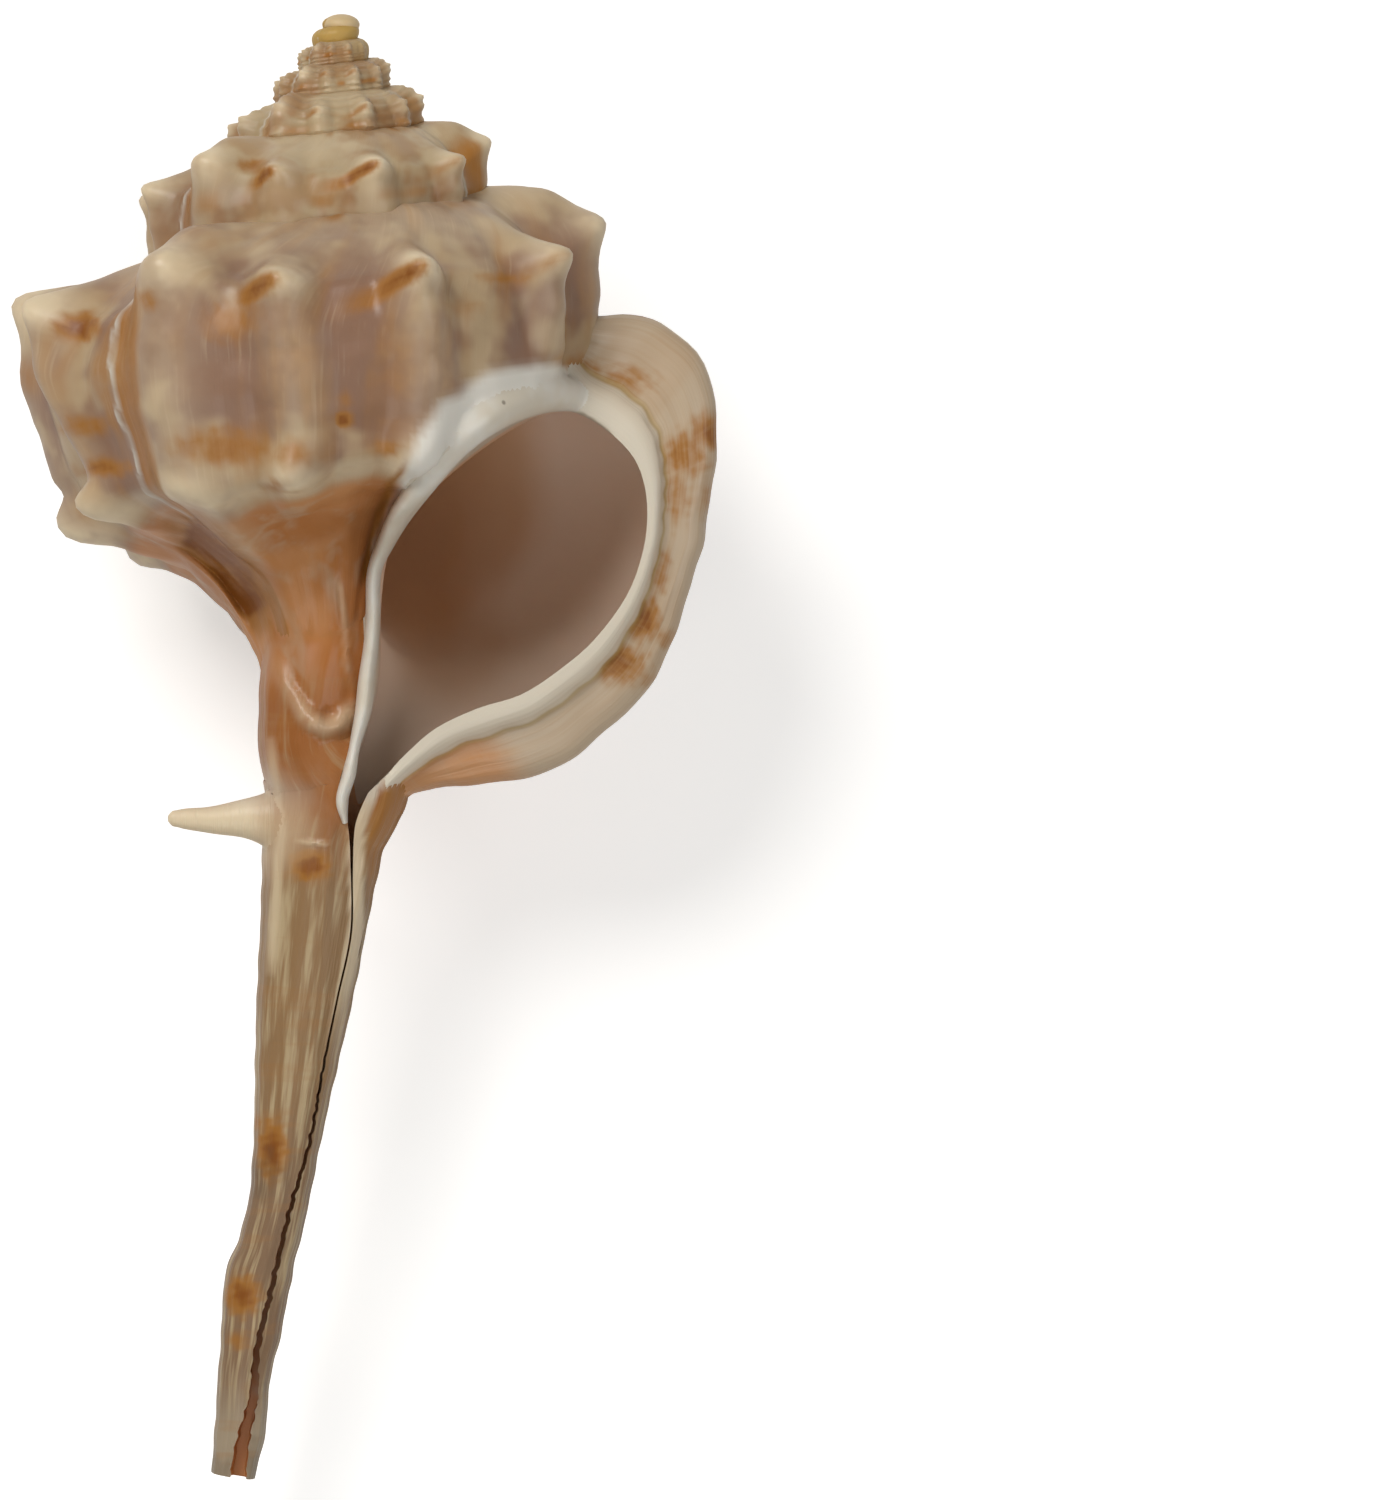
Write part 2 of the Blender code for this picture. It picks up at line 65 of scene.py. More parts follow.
# sculpture: heights as shares of the whorl radius, and widths along the third between two varices
sculpture = {
    # heights at the places of bodySection
    "varix": [0, 0.03, 0.075, 0.115, 0.135, 0.115, 0.11, 0.10, 0.105, 0.09, 0.07, 0.045, 0.02, 0],
    "rib": [0, 0, 0.015, 0.055, 0.115, 0.10, 0.075, 0.075, 0.10, 0.035, 0, 0, 0, 0],
    "varixLift": [0, 0, 0.04, 0.09, 0.09, 0.04, 0, 0, 0, 0, 0, 0, 0, 0],
    "ribWidth": 0.082,
    "knobWidth": 0.068,
    # each height is followed by its place along the section and its half width there
    "shoulderHorn": 0.06, "shoulderHornAt": (0.255, 0.07),
    "lowerHorn": 0.012, "lowerHornAt": (0.61, 0.07),
    "shoulderKnob": 0.085, "shoulderKnobAt": (0.252, 0.07),
    "lowerKnob": 0.07, "lowerKnobAt": (0.60, 0.055),
    "shoulderKeel": 0.022, "shoulderKeelAt": (0.258, 0.045),
    "lowerKeel": 0.016, "lowerKeelAt": (0.605, 0.04),
    "oldLip": 0.012, "oldLipPlace": 0.140, "oldLipWidth": 0.011,
    "cords": 0.016, "cordCount": 19,
    "unevenness": 0.009, "growthLines": 0.002, "growthCount": 31,
    # the turns over which it begins, grows up, and goes plain before the lip
    "begins": (-5.1, -4.7),
    "growsUp": (-2.9, -1.9),
    "beforeLip": (-0.16, -0.03),
    "bulgeAt": (-0.47, 0.13),        # the last whorl's bulge: its turn and how far it reaches
    # each of the three ribs in a third: height, strength of its brown dash, reach of the dash
    "ribs": ((1.0, 0.32, 0.20), (1.0, 0.95, 0.22), (0.8, 1.0, 0.13)),
    "ribPlaces": {-3: (0.217, 0.533, 0.775), -2: (0.31, 0.56, 0.80), 0: (0.25, 0.52, 0.775)},
}


def smoothRead(x, knots, values):
    # a smooth curve through the knots: a cubic in each gap, level where the values turn back
    xs = np.asarray(knots, float)
    ys = np.asarray(values, float)
    gap = np.diff(xs)
    slope = np.diff(ys) / gap
    tangent = np.zeros(len(xs))
    tangent[1:-1] = (slope[:-1] * gap[1:] + slope[1:] * gap[:-1]) / (xs[2:] - xs[:-2])
    tangent[0] = slope[0]
    tangent[-1] = slope[-1]
    tangent[1:-1] *= slope[:-1] * slope[1:] > 0
    x = np.asarray(x, float)
    i = np.clip(np.searchsorted(xs, x, side="right") - 1, 0, len(xs) - 2)
    h = gap[i]
    s = np.clip((x - xs[i]) / h, 0, 1)
    start = (2 * s**3 - 3 * s**2 + 1) * ys[i] + (s**3 - 2 * s**2 + s) * h * tangent[i]
    end = (3 * s**2 - 2 * s**3) * ys[i + 1] + (s**3 - s**2) * h * tangent[i + 1]
    return start + end


def ease(a, b, x):
    # from 0 at a to 1 at b, flat at both ends
    s = np.clip((x - a) / (b - a), 0, 1)
    return s * s * (3 - 2 * s)


def hump(x, centre, width):
    # 1 at the centre, falling smoothly to 0 one width away
    s = np.clip(np.abs(x - centre) / width, 0, 1)
    return (1 - s * s) ** 2


def ripple(x, y, seed):
    # a few crossed sine waves, in -1 to 1, for slow unevenness
    total = np.sin(2.1 * x + 1.3 * y + seed) + np.sin(-1.7 * x + 2.9 * y + 2.3 * seed)
    return (total + np.sin(3.7 * x + 0.6 * y + 4.1 * seed) + np.sin(0.9 * x - 4.3 * y + seed)) / 4


def lineDistance(points, line):
    # distance in X and Y from each point to a polyline, and how far along it the nearest place is
    line = np.asarray(line, float)
    best = np.full(len(points), 1e9)
    place = np.zeros(len(points))
    for k in range(len(line) - 1):
        side = line[k + 1] - line[k]
        s = np.clip((points - line[k]) @ side / (side @ side), 0, 1)
        away = np.linalg.norm(points - line[k] - s[:, None] * side, axis=1)
        nearer = away < best
        best = np.where(nearer, away, best)
        place = np.where(nearer, k + s, place)
    return best, place


def whorlSize(turn):
    # radius, on a smooth curve of its logarithm, and the height of the suture
    radius = np.exp(smoothRead(turn, coil["turns"], np.log(coil["radius"])))
    return radius, -smoothRead(turn, coil["turns"], coil["suture"])


def plainSection(turn, across):
    # the whorl without sculpture: the section scaled by the radius, easing to the lip's section
    blend = ease(-0.42, -0.02, turn)
    body = [smoothRead(across, bodySection[:, 0], bodySection[:, k]) for k in (1, 2)]
    lip = [smoothRead(across, lipSection[:, 0], lipSection[:, k]) for k in (1, 2)]
    radius, top = whorlSize(turn)
    r = radius * ((1 - blend) * body[0] + blend * lip[0])
    y = top - radius * ((1 - blend) * body[1] + blend * lip[1])
    return r, y, radius


def sculptured(turn, across):
    # how far the sculpture stands out along the surface normal and outward, in whorl radii,
    # and its masks: brown, cream tips (near the suture partly painted light), old-lip edge
    warped = turn - 0.03 * hump(turn, -1.62, 0.35)
    third = np.floor(3 * warped + 1e-9)
    phase = 3 * warped - third
    near = np.where(phase > 0.5, phase - 1, phase)
    early = ease(*sculpture["begins"], turn)
    young = 1 - ease(*sculpture["growsUp"], turn)
    older = 1 - ease(*sculpture["beforeLip"], turn)
    knots = bodySection[:, 0]
    # a varix swells slowly, crests, then drops to the old lip
    rising = 0.35 * ease(-0.30, -0.05, near) + 0.65 * ease(-0.12, -0.012, near)
    falling = 1 - ease(-0.005, 0.125, near)
    varix = np.where(near <= 0, rising, falling)
    rise = varix * smoothRead(across, knots, sculpture["varix"])
    sharp = older * varix**3
    outward = sharp * (sculpture["shoulderHorn"] * hump(across, *sculpture["shoulderHornAt"])
                       + sculpture["lowerHorn"] * hump(across, *sculpture["lowerHornAt"]))
    rib = np.zeros_like(phase)
    knob = np.zeros_like(phase)
    dash = np.zeros_like(phase)
    places = sculpture["ribPlaces"]
    for k, (strength, strong, reach) in enumerate(sculpture["ribs"]):
        centre = np.select([third == -3, third == -2], [places[-3][k], places[-2][k]], places[0][k])
        lean = centre + 0.02 * np.sin(9 * across)
        rib = rib + strength * hump(phase, lean, sculpture["ribWidth"])
        knob = knob + strength * hump(phase, centre, sculpture["knobWidth"]) * (1 - 0.5 * young)
        # orange-brown dash running down and forward from each shoulder knob
        ahead = phase - centre
        line = hump(across, 0.262 + 0.26 * ahead, 0.026 + 0.13 * np.clip(ahead, 0, 1))
        dash = dash + strong * line * ease(-0.01, 0.03, ahead) * (1 - ease(0.03, reach, ahead))
    dash = dash * (1 - 0.55 * young)
    rise = rise + rib * smoothRead(across, knots, sculpture["rib"])
    outward = outward + knob * sculpture["shoulderKnob"] * hump(across, *sculpture["shoulderKnobAt"])
    outward = outward + knob * sculpture["lowerKnob"] * hump(across, *sculpture["lowerKnobAt"])
    keels = sculpture["shoulderKeel"] * hump(across, *sculpture["shoulderKeelAt"])
    keels = keels + sculpture["lowerKeel"] * hump(across, *sculpture["lowerKeelAt"])
    rise = rise + keels * (1 - young) * older
    # thin scalloped edge of the old lip at the foot of each varix
    foot = sculpture["oldLipPlace"] + 0.004 * np.sin(2 * math.pi * 7 * across)
    foot = foot + 0.002 * np.sin(2 * math.pi * 18 * across)
    edge = hump(near, foot, sculpture["oldLipWidth"])
    edge = edge * ease(0.12, 0.2, across) * (1 - ease(0.66, 0.74, across))
    edge = edge * (0.74 + 0.26 * np.sin(2 * math.pi * 16 * across + 5 * np.sin(7 * across)))
    rise = rise + sculpture["oldLip"] * edge * (1 - 0.4 * young)
    # spiral cords, strong and beaded on the young whorls, faint later
    cord = np.cos(2 * math.pi * sculpture["cordCount"] * (across - 0.25))
    bead = 0.6 + 0.6 * np.clip(rib + varix, 0, 1)
    corded = (young + 0.08 * (1 - young)) * ease(0.1, 0.2, across)
    rise = rise + sculpture["cords"] * cord * bead * corded
    # slow unevenness and fine growth lines on the later whorls
    rise = rise + sculpture["unevenness"] * ripple(22 * turn, 16 * across, 1.7) * (1 - young)
    lines = np.sin(2 * math.pi * sculpture["growthCount"] * (turn + 0.02 * np.sin(9 * across)))
    rise = rise + sculpture["growthLines"] * lines * (1 - young)
    # cream on the knobs, varices and ribs, in a band under the lower knobs, and near the suture, where the
    # paler ramp is partly cream and partly painted light
    tip = np.clip(knob, 0, 1) * hump(across, 0.25, 0.06) + varix**4 * hump(across, 0.25, 0.07)
    tip = tip + 0.7 * np.clip(knob + varix**3, 0, 1) * hump(across, 0.605, 0.05)
    tip = tip + 0.6 * varix**2 * hump(across, 0.71, 0.11)
    ridge = np.clip(rib + varix**2, 0, 1) * ease(0.18, 0.26, across) * (1 - ease(0.62, 0.67, across))
    # the last term is the ramp by the suture, made paler partly as painted light
    tip = tip + 0.32 * ridge + 0.6 * hump(across, 0.632, 0.045) + 0.4 * (1 - ease(0.10, 0.27, across))
    brown = brownMarks(turn, across)
    # the steep face between a varix and its old lip is brown too
    face = (1 - hump(turn, -0.96, 0.10)) * ease(0.02, 0.05, near)
    face = face * (1 - ease(0.122, 0.136, near)) * ease(0.14, 0.24, across)
    brown = np.maximum(brown, (np.clip(dash, 0, 1) + (0.5 - 0.27 * young) * face) * older)
    brown = np.maximum(brown, young * (0.07 - 0.07 * cord))
    raised = np.maximum(varix * older * early, 0.8 * (1 - ease(-3.1, -2.2, turn)))
    lift = raised * smoothRead(across, knots, sculpture["varixLift"])
    rounded = 0.07 * hump(across, 0.33, 0.22) * (1 - ease(-5.4, -4.7, turn))
    # the last whorl bulges on the side away from the lip
    bulge = hump(turn, *sculpture["bulgeAt"])
    outward = outward * early + 0.045 * bulge * hump(across, 0.36, 0.32)
    lift = lift + 0.11 * bulge * hump(across, 0.24, 0.17)
    return rise * early + rounded, outward, lift, brown * early, np.clip(tip, 0, 1) * early, edge


def brownMarks(turn, across):
    # spiral rows of orange-brown blocks, cut back where the aperture side has its own marks
    row = hump(across, 0.345, 0.045) * ease(0.25, 0.9, ripple(31 * turn, 3 * across, 0.4) + 0.4)
    low = hump(across, 0.515, 0.04) * ease(-0.2, 0.7, ripple(19 * turn, 5 * across, 2.2))
    lower = hump(across, 0.575, 0.022) * ease(0.0, 0.8, ripple(27 * turn, 9 * across, 3.1))
    flecks = hump(across, 0.045, 0.06) * ease(0.1, 0.7, ripple(43 * turn, 5 * across, 1.2))
    front = ease(-1.03, -0.98, turn) * (1 - ease(-0.52, -0.46, turn))
    young = ease(-4.6, -3.2, turn) * (1 - ease(-1.45, -1.3, turn))
    rows = (0.75 * row + 0.7 * low + 0.5 * lower) * (1 - 0.85 * np.maximum(front, 0.6 * young))
    return np.maximum(rows, 0.5 * flecks)


# brown blotches on the aperture side: X, Y, half width, half height, in millimetres, and strength
blotches = [
    (-4.3, -13.9, 1.5, 1.1, 0.5), (-4.6, -19.2, 2.6, 1.0, 0.6), (-1.6, -19.6, 1.3, 0.8, 0.45),
    (-11.2, -13.9, 1.2, 0.75, 0.9), (-11.5, -18.2, 1.7, 0.55, 0.6), (-10.9, -20.1, 1.5, 0.6, 0.9),
    (-7.9, -12.9, 0.6, 0.5, 0.6), (7.6, -11.9, 1.4, 0.35, 0.5), (5.6, -13.2, 1.2, 0.6, 0.3),
    (-3.6, -6.9, 0.8, 0.4, 0.6), (-5.5, -4.9, 0.7, 0.6, 0.5), (0.6, -18.1, 0.45, 0.45, 0.95),
    (0.6, -17.3, 0.45, 0.6, 0.4), (2.4, -19.3, 0.9, 0.4, 0.5), (-2.5, -21.0, 0.7, 0.35, 0.5),
    (16.4, -18.4, 1.1, 1.0, 0.8), (15.2, -19.5, 1.3, 1.2, 0.75), (14.9, -21.1, 0.8, 1.6, 0.6),
    (16.4, -21.3, 0.8, 1.2, 0.4), (14.1, -24.5, 0.7, 1.3, 0.6), (13.4, -26.6, 0.95, 1.05, 0.95),
    (14.5, -27.4, 0.8, 0.7, 0.5), (12.4, -28.5, 1.35, 1.0, 0.9), (13.4, -29.1, 1.0, 0.7, 0.5),
    (12.6, -16.2, 1.9, 1.0, 0.5), (10.8, -15.6, 1.2, 0.6, 0.6), (6.5, -32.6, 2.0, 0.5, 0.25),
    (-2.86, -49.9, 0.75, 1.45, 1.0), (-3.55, -48.7, 0.3, 0.35, 0.7), (-4.2, -56.3, 0.9, 1.0, 0.95),
    (-4.4, -58.3, 0.6, 0.5, 0.5), (-1.15, -37.4, 1.0, 0.75, 1.0), (-3.9, -60.6, 0.5, 0.7, 0.2)]
# relief on the base and the canal root: lines in X and Y, with half width and height, in millimetres
relief = [
    ([(4.1, -19.5), (3.4, -20.0), (2.5, -20.8), (1.9, -22.0), (1.5, -23.5), (1.2, -25.0)],
     0.24, -0.32),
    ([(-6.7, -23.4), (-5.4, -24.0), (-4.4, -25.1), (-3.8, -26.5)], 1.5, -1.3),
    ([(-3.3, -26.2), (-3.0, -27.6), (-2.4, -29.0), (-1.75, -30.2), (-1.2, -31.0)], 0.45, 0.15),
    ([(-3.0, -25.6), (-2.55, -27.5), (-1.95, -29.0), (-1.25, -30.3)], 0.24, -0.20),
    ([(-1.2, -31.0), (-0.5, -31.35), (0.3, -31.05), (0.7, -30.5)], 0.50, 0.42),
    ([(0.7, -30.5), (0.72, -29.6), (0.45, -28.4), (0.35, -26.4), (0.1, -24.9)], 0.20, 0.13),
    ([(-0.45, -30.75), (-0.1, -31.0)], 0.32, -0.28),
    ([(-2.9, -32.0), (-2.5, -36.0), (-2.9, -42.0)], 0.3, 0.12),
    ([(-1.7, -36.35), (-0.4, -36.45)], 0.14, 0.12),
    ([(-0.2, -33.2), (-0.3, -38.0), (-0.8, -44.0), (-1.7, -50.0)], 0.28, 0.10)]


def blotchMask(points):
    # strength of the strongest blotch at each point: soft ellipses with a wavy edge, front only
    flat = points.reshape(-1, 3)
    mask = np.zeros(len(flat))
    wobble = 0.25 * ripple(3.1 * flat[:, 0], 3.7 * flat[:, 1], 0.8)
    for x, y, halfX, halfY, strength in blotches:
        away = np.hypot((flat[:, 0] - x) / halfX, (flat[:, 1] - y) / halfY) + wobble
        mask = np.maximum(mask, strength * (1 - ease(0.05, 1.45, away)))
    return (mask * (flat[:, 2] > 0)).reshape(points.shape[:-1])


def reliefShift(points):
    # forward shift of the front of the base and canal, where it is grooved, for painted shade, and where
    # it is ridged
    flat = points.reshape(-1, 3)
    shift = np.zeros(len(flat))
    grooveShade = np.zeros(len(flat))
    ridge = np.zeros(len(flat))
    for line, half, high in relief:
        away, place = lineDistance(flat[:, :2], line)
        fade = ease(0, 0.6, place + 0.3) * ease(0, 0.6, len(line) - 0.7 - place)
        near = (1 - ease(0.2, 1.3, away / half)) * fade
        shift = shift + high * near
        # the deep grooves get painted shade, laid over the base's own brown
        if high < -0.3:      # only the deep grooves are dark
            grooveShade = np.maximum(grooveShade, near * min(1, 0.4 - 0.6 * high))
        if high > 0.1:       # only the higher ridges are pale
            ridge = np.maximum(ridge, near * (ease(0, 5, place) if len(line) > 4 else 1))
    front = ease(0, 1.2, flat[:, 2])
    return [(part * front).reshape(points.shape[:-1]) for part in (shift, grooveShade, ridge)]


# white enamel of the inner lip: centre line X, Y and half width of the sheet on the whorl
enamel = {
    "line": [[12.0, -17.4], [10.9, -16.7], [9.8, -16.5], [8.3, -16.65], [7.0, -17.1],
             [5.6, -18.2], [4.5, -19.3], [3.6, -20.8], [2.7, -22.1], [2.0, -23.5]],
    "half": [0.5, 0.8, 1.0, 1.15, 1.3, 1.25, 1.05, 0.75, 0.5, 0.4],
    "thick": 0.32,
    "fade": (-0.45, 0.20),       # it thins out from inside its edge to outside
}
# edge of the aperture in X and Y, from its top round the outer lip to the canal and back
mouthEdge = np.array([
    [10.2, -17.4], [11.7, -18.15], [13.0, -19.3], [13.6, -20.5], [13.8, -22.0], [13.6, -23.7],
    [12.9, -25.6], [11.5, -27.5], [10.0, -28.8], [8.3, -29.9], [6.4, -30.5], [4.6, -31.35],
    [3.3, -32.45], [2.2, -33.6], [1.2, -34.7], [0.66, -35.3], [0.42, -34.4], [0.62, -33.2],
    [1.05, -32.2], [1.42, -31.0], [1.75, -29.6], [1.88, -28.1], [1.82, -26.4], [1.80, -24.9],
    [2.2, -23.5], [3.3, -21.8], [5.4, -19.8], [7.6, -18.2], [9.0, -17.55]])


def mouthPoint(place):
    # a smooth closed curve through the edge points, read at fractional positions
    count = len(mouthEdge)
    i = np.floor(place).astype(int)
    s = (place - i)[..., None]
    a, b, c, d = [mouthEdge[(i + k) % count] for k in (-1, 0, 1, 2)]
    return b + 0.5 * s * (c - a + s * (2 * a - 5 * b + 4 * c - d + s * (3 * (b - c) + d - a)))


def shellSurface(turn, across):
    # the outer skin: the plain section swept round the coil, pushed out along its own normal and
    # away from the axis by the sculpture, with the relief of the base pushed forward
    turn, across = np.broadcast_arrays(np.asarray(turn, float), np.asarray(across, float))
    small = 1e-3
    r, y, radius = plainSection(turn, across)
    rNext, yNext, _ = plainSection(turn, np.clip(across + small, 0, 1))
    rLast, yLast, _ = plainSection(turn, np.clip(across - small, 0, 1))
    length = np.hypot(rNext - rLast, yNext - yLast) + 1e-12
    outR = -(yNext - yLast) / length
    outY = (rNext - rLast) / length
    rise, outward, lift, brown, tip, edge = sculptured(turn, across)
    angle = lipAngle + 2 * math.pi * turn
    # the enamel sheet lies on the last whorl only, in front, and smooths what is under it
    flat = np.stack([(r + outR * rise * radius) * np.cos(angle), y + outY * rise * radius], -1)
    away, place = lineDistance(flat.reshape(-1, 2), enamel["line"])
    half = smoothRead(place, np.arange(len(enamel["half"])), enamel["half"])
    ragged = 0.10 * ripple(1.6 * flat[..., 0], 1.9 * flat[..., 1], 0.5).ravel()
    cover = (1 - ease(*enamel["fade"], away - half + ragged)).reshape(turn.shape)
    cover = cover * (turn > -1.02) * (turn < -0.72) * (np.sin(angle) > 0)
    under = 1 - np.where(np.abs(turn + 1) < 0.08, 0.9, 0.25) * cover
    rise = rise * radius * under + cover * enamel["thick"]
    rOut = r + outR * rise + outward * radius
    yOut = y + outY * rise + lift * radius
    points = np.stack([rOut * np.cos(angle), yOut, rOut * np.sin(angle)], -1)
    last = (turn > -1.02) * (turn < -0.5) * ease(0.57, 0.64, across)
    shift, grooveShade, ridge = reliefShift(points)
    points[..., 2] += shift * last
    brown = np.maximum(brown, blotchMask(points) * (turn > -2.2))
    # painted shade in the deep grooves of the base, carried with the brown marks
    brown = np.maximum(brown, grooveShade * last)
    tip = np.maximum(tip, 0.5 * ridge * last)
    masks = {"place": (turn + 8, across), "tints": (brown, tip), "cover": (cover, edge)}
    return points, masks


def besideAxis(turns, grid):
    # the inner side of a sector: a thin strip just off the axis, from its first to its last height
    radius = 0.02 * whorlSize(turns)[0][:, None]
    share = np.linspace(0, 1, grid.shape[1])[None, :]
    y = grid[:, :1, 1] * (1 - share) + (grid[:, -1:, 1] - 0.05) * share
    angle = lipAngle + 2 * math.pi * turns[:, None]
    return np.stack([radius * np.cos(angle) + 0 * y, y, radius * np.sin(angle) + 0 * y], -1)


def ringFaces(rings, count, capped=True):
    # quads between neighbouring rings of points, and a fan to a middle point at each end
    i = np.arange(rings - 1)[:, None] * count
    j = np.arange(count)[None, :]
    k = (j + 1) % count
    faces = [np.stack([(i + j).ravel(), (i + k).ravel(), (i + count + k).ravel(),
                       (i + count + j).ravel()], 1)]
    if capped:
        j, k = j[0], k[0]
        start = np.full(count, rings * count)
        last = (rings - 1) * count
        faces.append(np.stack([k, j, start], 1))
        faces.append(np.stack([last + j, last + k, start + 1], 1))
    return faces


def addSolid(name, points, faces, masks, material):
    # faces is a list of arrays; masks are per point and go into UV maps; a negative volume means
    # that the faces point inwards, so they are turned round
    rows = [row for block in faces for row in block.tolist()]
    a, b, c = [points[np.array([row[k] for row in rows])] for k in range(3)]
    d = points[np.array([row[-1] for row in rows])]
    volume = (np.cross(a, b) * c).sum() + (np.cross(a, c) * d).sum()
    if volume < 0:
        rows = [row[::-1] for row in rows]
    mesh = bpy.data.meshes.new(name)
    mesh.from_pydata((points * mm).tolist(), [], rows)
    corner = np.zeros(len(mesh.loops), int)
    mesh.loops.foreach_get("vertex_index", corner)
    for key in ("place", "tints", "cover"):
        layer = mesh.uv_layers.new(name=key)
        pair = masks.get(key)
        values = np.zeros((len(points), 2))
        if pair is not None:
            for column in (0, 1):
                part = np.asarray(pair[column], float).ravel()
                values[:len(part), column] = part
        layer.uv.foreach_set("vector", values[corner].ravel())
    mesh.materials.append(material)
    piece = bpy.data.objects.new(name, mesh)
    bpy.context.scene.collection.objects.link(piece)
    return piece


def whorlSector(start, end, steps, across, material):
    # one piece of the coil; its first ring is drawn in a little, inside the piece before it
    turns = np.concatenate([[start - 0.4 / coil["stepsPerTurn"]], np.linspace(start, end, steps + 1)])
    grid, masks = shellSurface(turns[:, None], across[None, :])
    rings = np.concatenate([grid, besideAxis(turns, grid)[:, ::-1]], 1)
    rings[0] += 0.2 * (rings[0].mean(0) - rings[0])
    return stackSolid("whorl", rings, masks, len(across), material)


def stackSolid(name, rings, masks, count, material):
    # rings run down the outside and back up beside the axis; ends close in strips
    full = 2 * count
    faces = ringFaces(len(rings), full, capped=False)
    j = np.arange(count - 1)
    m = full - 1 - j
    e = (len(rings) - 1) * full
    faces.append(np.stack([j + 1, j, m, m - 1], 1))
    faces.append(np.stack([e + j, e + j + 1, e + m - 1, e + m], 1))
    wide = {}
    for key, pair in masks.items():
        parts = [np.broadcast_to(np.asarray(part, float), (len(rings), count)) for part in pair]
        wide[key] = [np.concatenate([part, part[:, ::-1]], 1) for part in parts]
    return addSolid(name, rings.reshape(-1, 3), faces, wide, material)


def tubeSolid(name, path, halfAcross, halfDeep, across, count, material, masks=None, shape=None):
    # an ellipse carried along a path, its width kept towards one direction
    along = np.gradient(path, axis=0)
    along /= np.linalg.norm(along, axis=1)[:, None]
    side = np.broadcast_to(np.asarray(across, float), path.shape)
    side = side - (side * along).sum(1)[:, None] * along
    side /= np.linalg.norm(side, axis=1)[:, None]
    deep = np.cross(side, along)
    angle = 2 * math.pi * np.arange(count) / count
    swell = 1 if shape is None else shape(angle[None, :])
    sideways = (halfAcross[:, None] * np.cos(angle) * swell)[:, :, None]
    inDepth = (halfDeep[:, None] * np.sin(angle) * swell)[:, :, None]
    rings = path[:, None, :] + side[:, None, :] * sideways
    rings = rings + deep[:, None, :] * inDepth
    return ringSolid(name, rings, masks, material)


def ringSolid(name, rings, masks, material):
    # closed rings of points, capped at both ends
    rings = rings.copy()
    flat = masks(rings) if masks else {}
    points = np.concatenate([rings.reshape(-1, 3), rings[:1].mean(1), rings[-1:].mean(1)])
    return addSolid(name, points, ringFaces(len(rings), rings.shape[1]), flat, material)


# lip: how far each ring of the leading face stands forward, in millimetres, on its way from the
# outline to the edge of the aperture, and where on that edge each part of the section ends
lip = {
    "ahead": [0.0, 0.30, 0.62, 0.85, 1.00, 1.15, 1.40, 1.75, 2.00, 2.02],
    "inward": [0.0, 0.04, 0.14, 0.30, 0.45, 0.60, 0.66, 0.72, 0.84, 0.985],
    "across": [0, 0.12, 0.19, 0.26, 0.34, 0.43, 0.52, 0.60, 0.68, 0.76, 0.83, 0.90, 1.0],
    "edge": [-0.9, 0.2, 0.9, 1.9, 3.0, 4.1, 5.5, 6.7, 8.1, 9.8, 11.3, 12.8, 14.4],
    "rings": 44,
    "crimp": 0.014,
    "crimpCount": 24,
    "narrow": 0.09,
}


def lipFace(across, material):
    # rings that start just inside the whorl, follow its last outline, stand forward, and draw in
    # to the aperture
    outline, _ = shellSurface(np.zeros((1, 1)), across[None, :])
    inner = besideAxis(np.zeros(1), outline)[0, ::-1]
    outline = outline[0]
    forward = np.array([-math.sin(lipAngle), 0, math.cos(lipAngle)])
    target = mouthPoint(smoothRead(across, lip["across"], lip["edge"]))
    target = np.stack([target[:, 0], target[:, 1], target[:, 0] * math.tan(lipAngle)], 1)
    fade = (ease(0.02, 0.16, across) * (1 - 0.5 * ease(0.80, 1.0, across)))[:, None]
    place = np.linspace(0, len(lip["ahead"]) - 1, lip["rings"])
    knots = np.arange(len(lip["ahead"]))
    ahead = smoothRead(place, knots, lip["ahead"])
    inward = smoothRead(place, knots, lip["inward"])
    tongue = np.concatenate([outline, inner])
    rings = [tongue + 0.2 * (tongue.mean(0) - tongue) - 0.2 * forward]
    for k in range(len(place)):
        crimp = lip["crimp"] * np.sin(2 * math.pi * lip["crimpCount"] * across) * hump(place[k], 5.6, 1.6)
        slope = 0.05 * ripple(30 * across, place[k], 0.7) * hump(place[k], 3.5, 3)
        narrow = lip["narrow"] * hump(across, 0.43, 0.27) * hump(place[k], 5.6, 3)
        drawn = (inward[k] + crimp + narrow)[:, None]
        moved = outline + (target - outline) * drawn * (0.35 + 0.65 * fade)
        front = forward * ahead[k] + forward * slope[:, None] * fade
        rings.append(np.concatenate([moved + front, inner + forward * ahead[k]]))
    share = np.concatenate([[0], place / place[-1]])[:, None]
    rings = np.stack(rings)
    marks = blotchMask(rings[:, :len(across)])
    masks = {"place": (0 * share + across[None, :], share + 0 * across[None, :]),
             "tints": (marks, 0 * marks)}
    return stackSolid("lipFace", rings, masks, len(across), material)


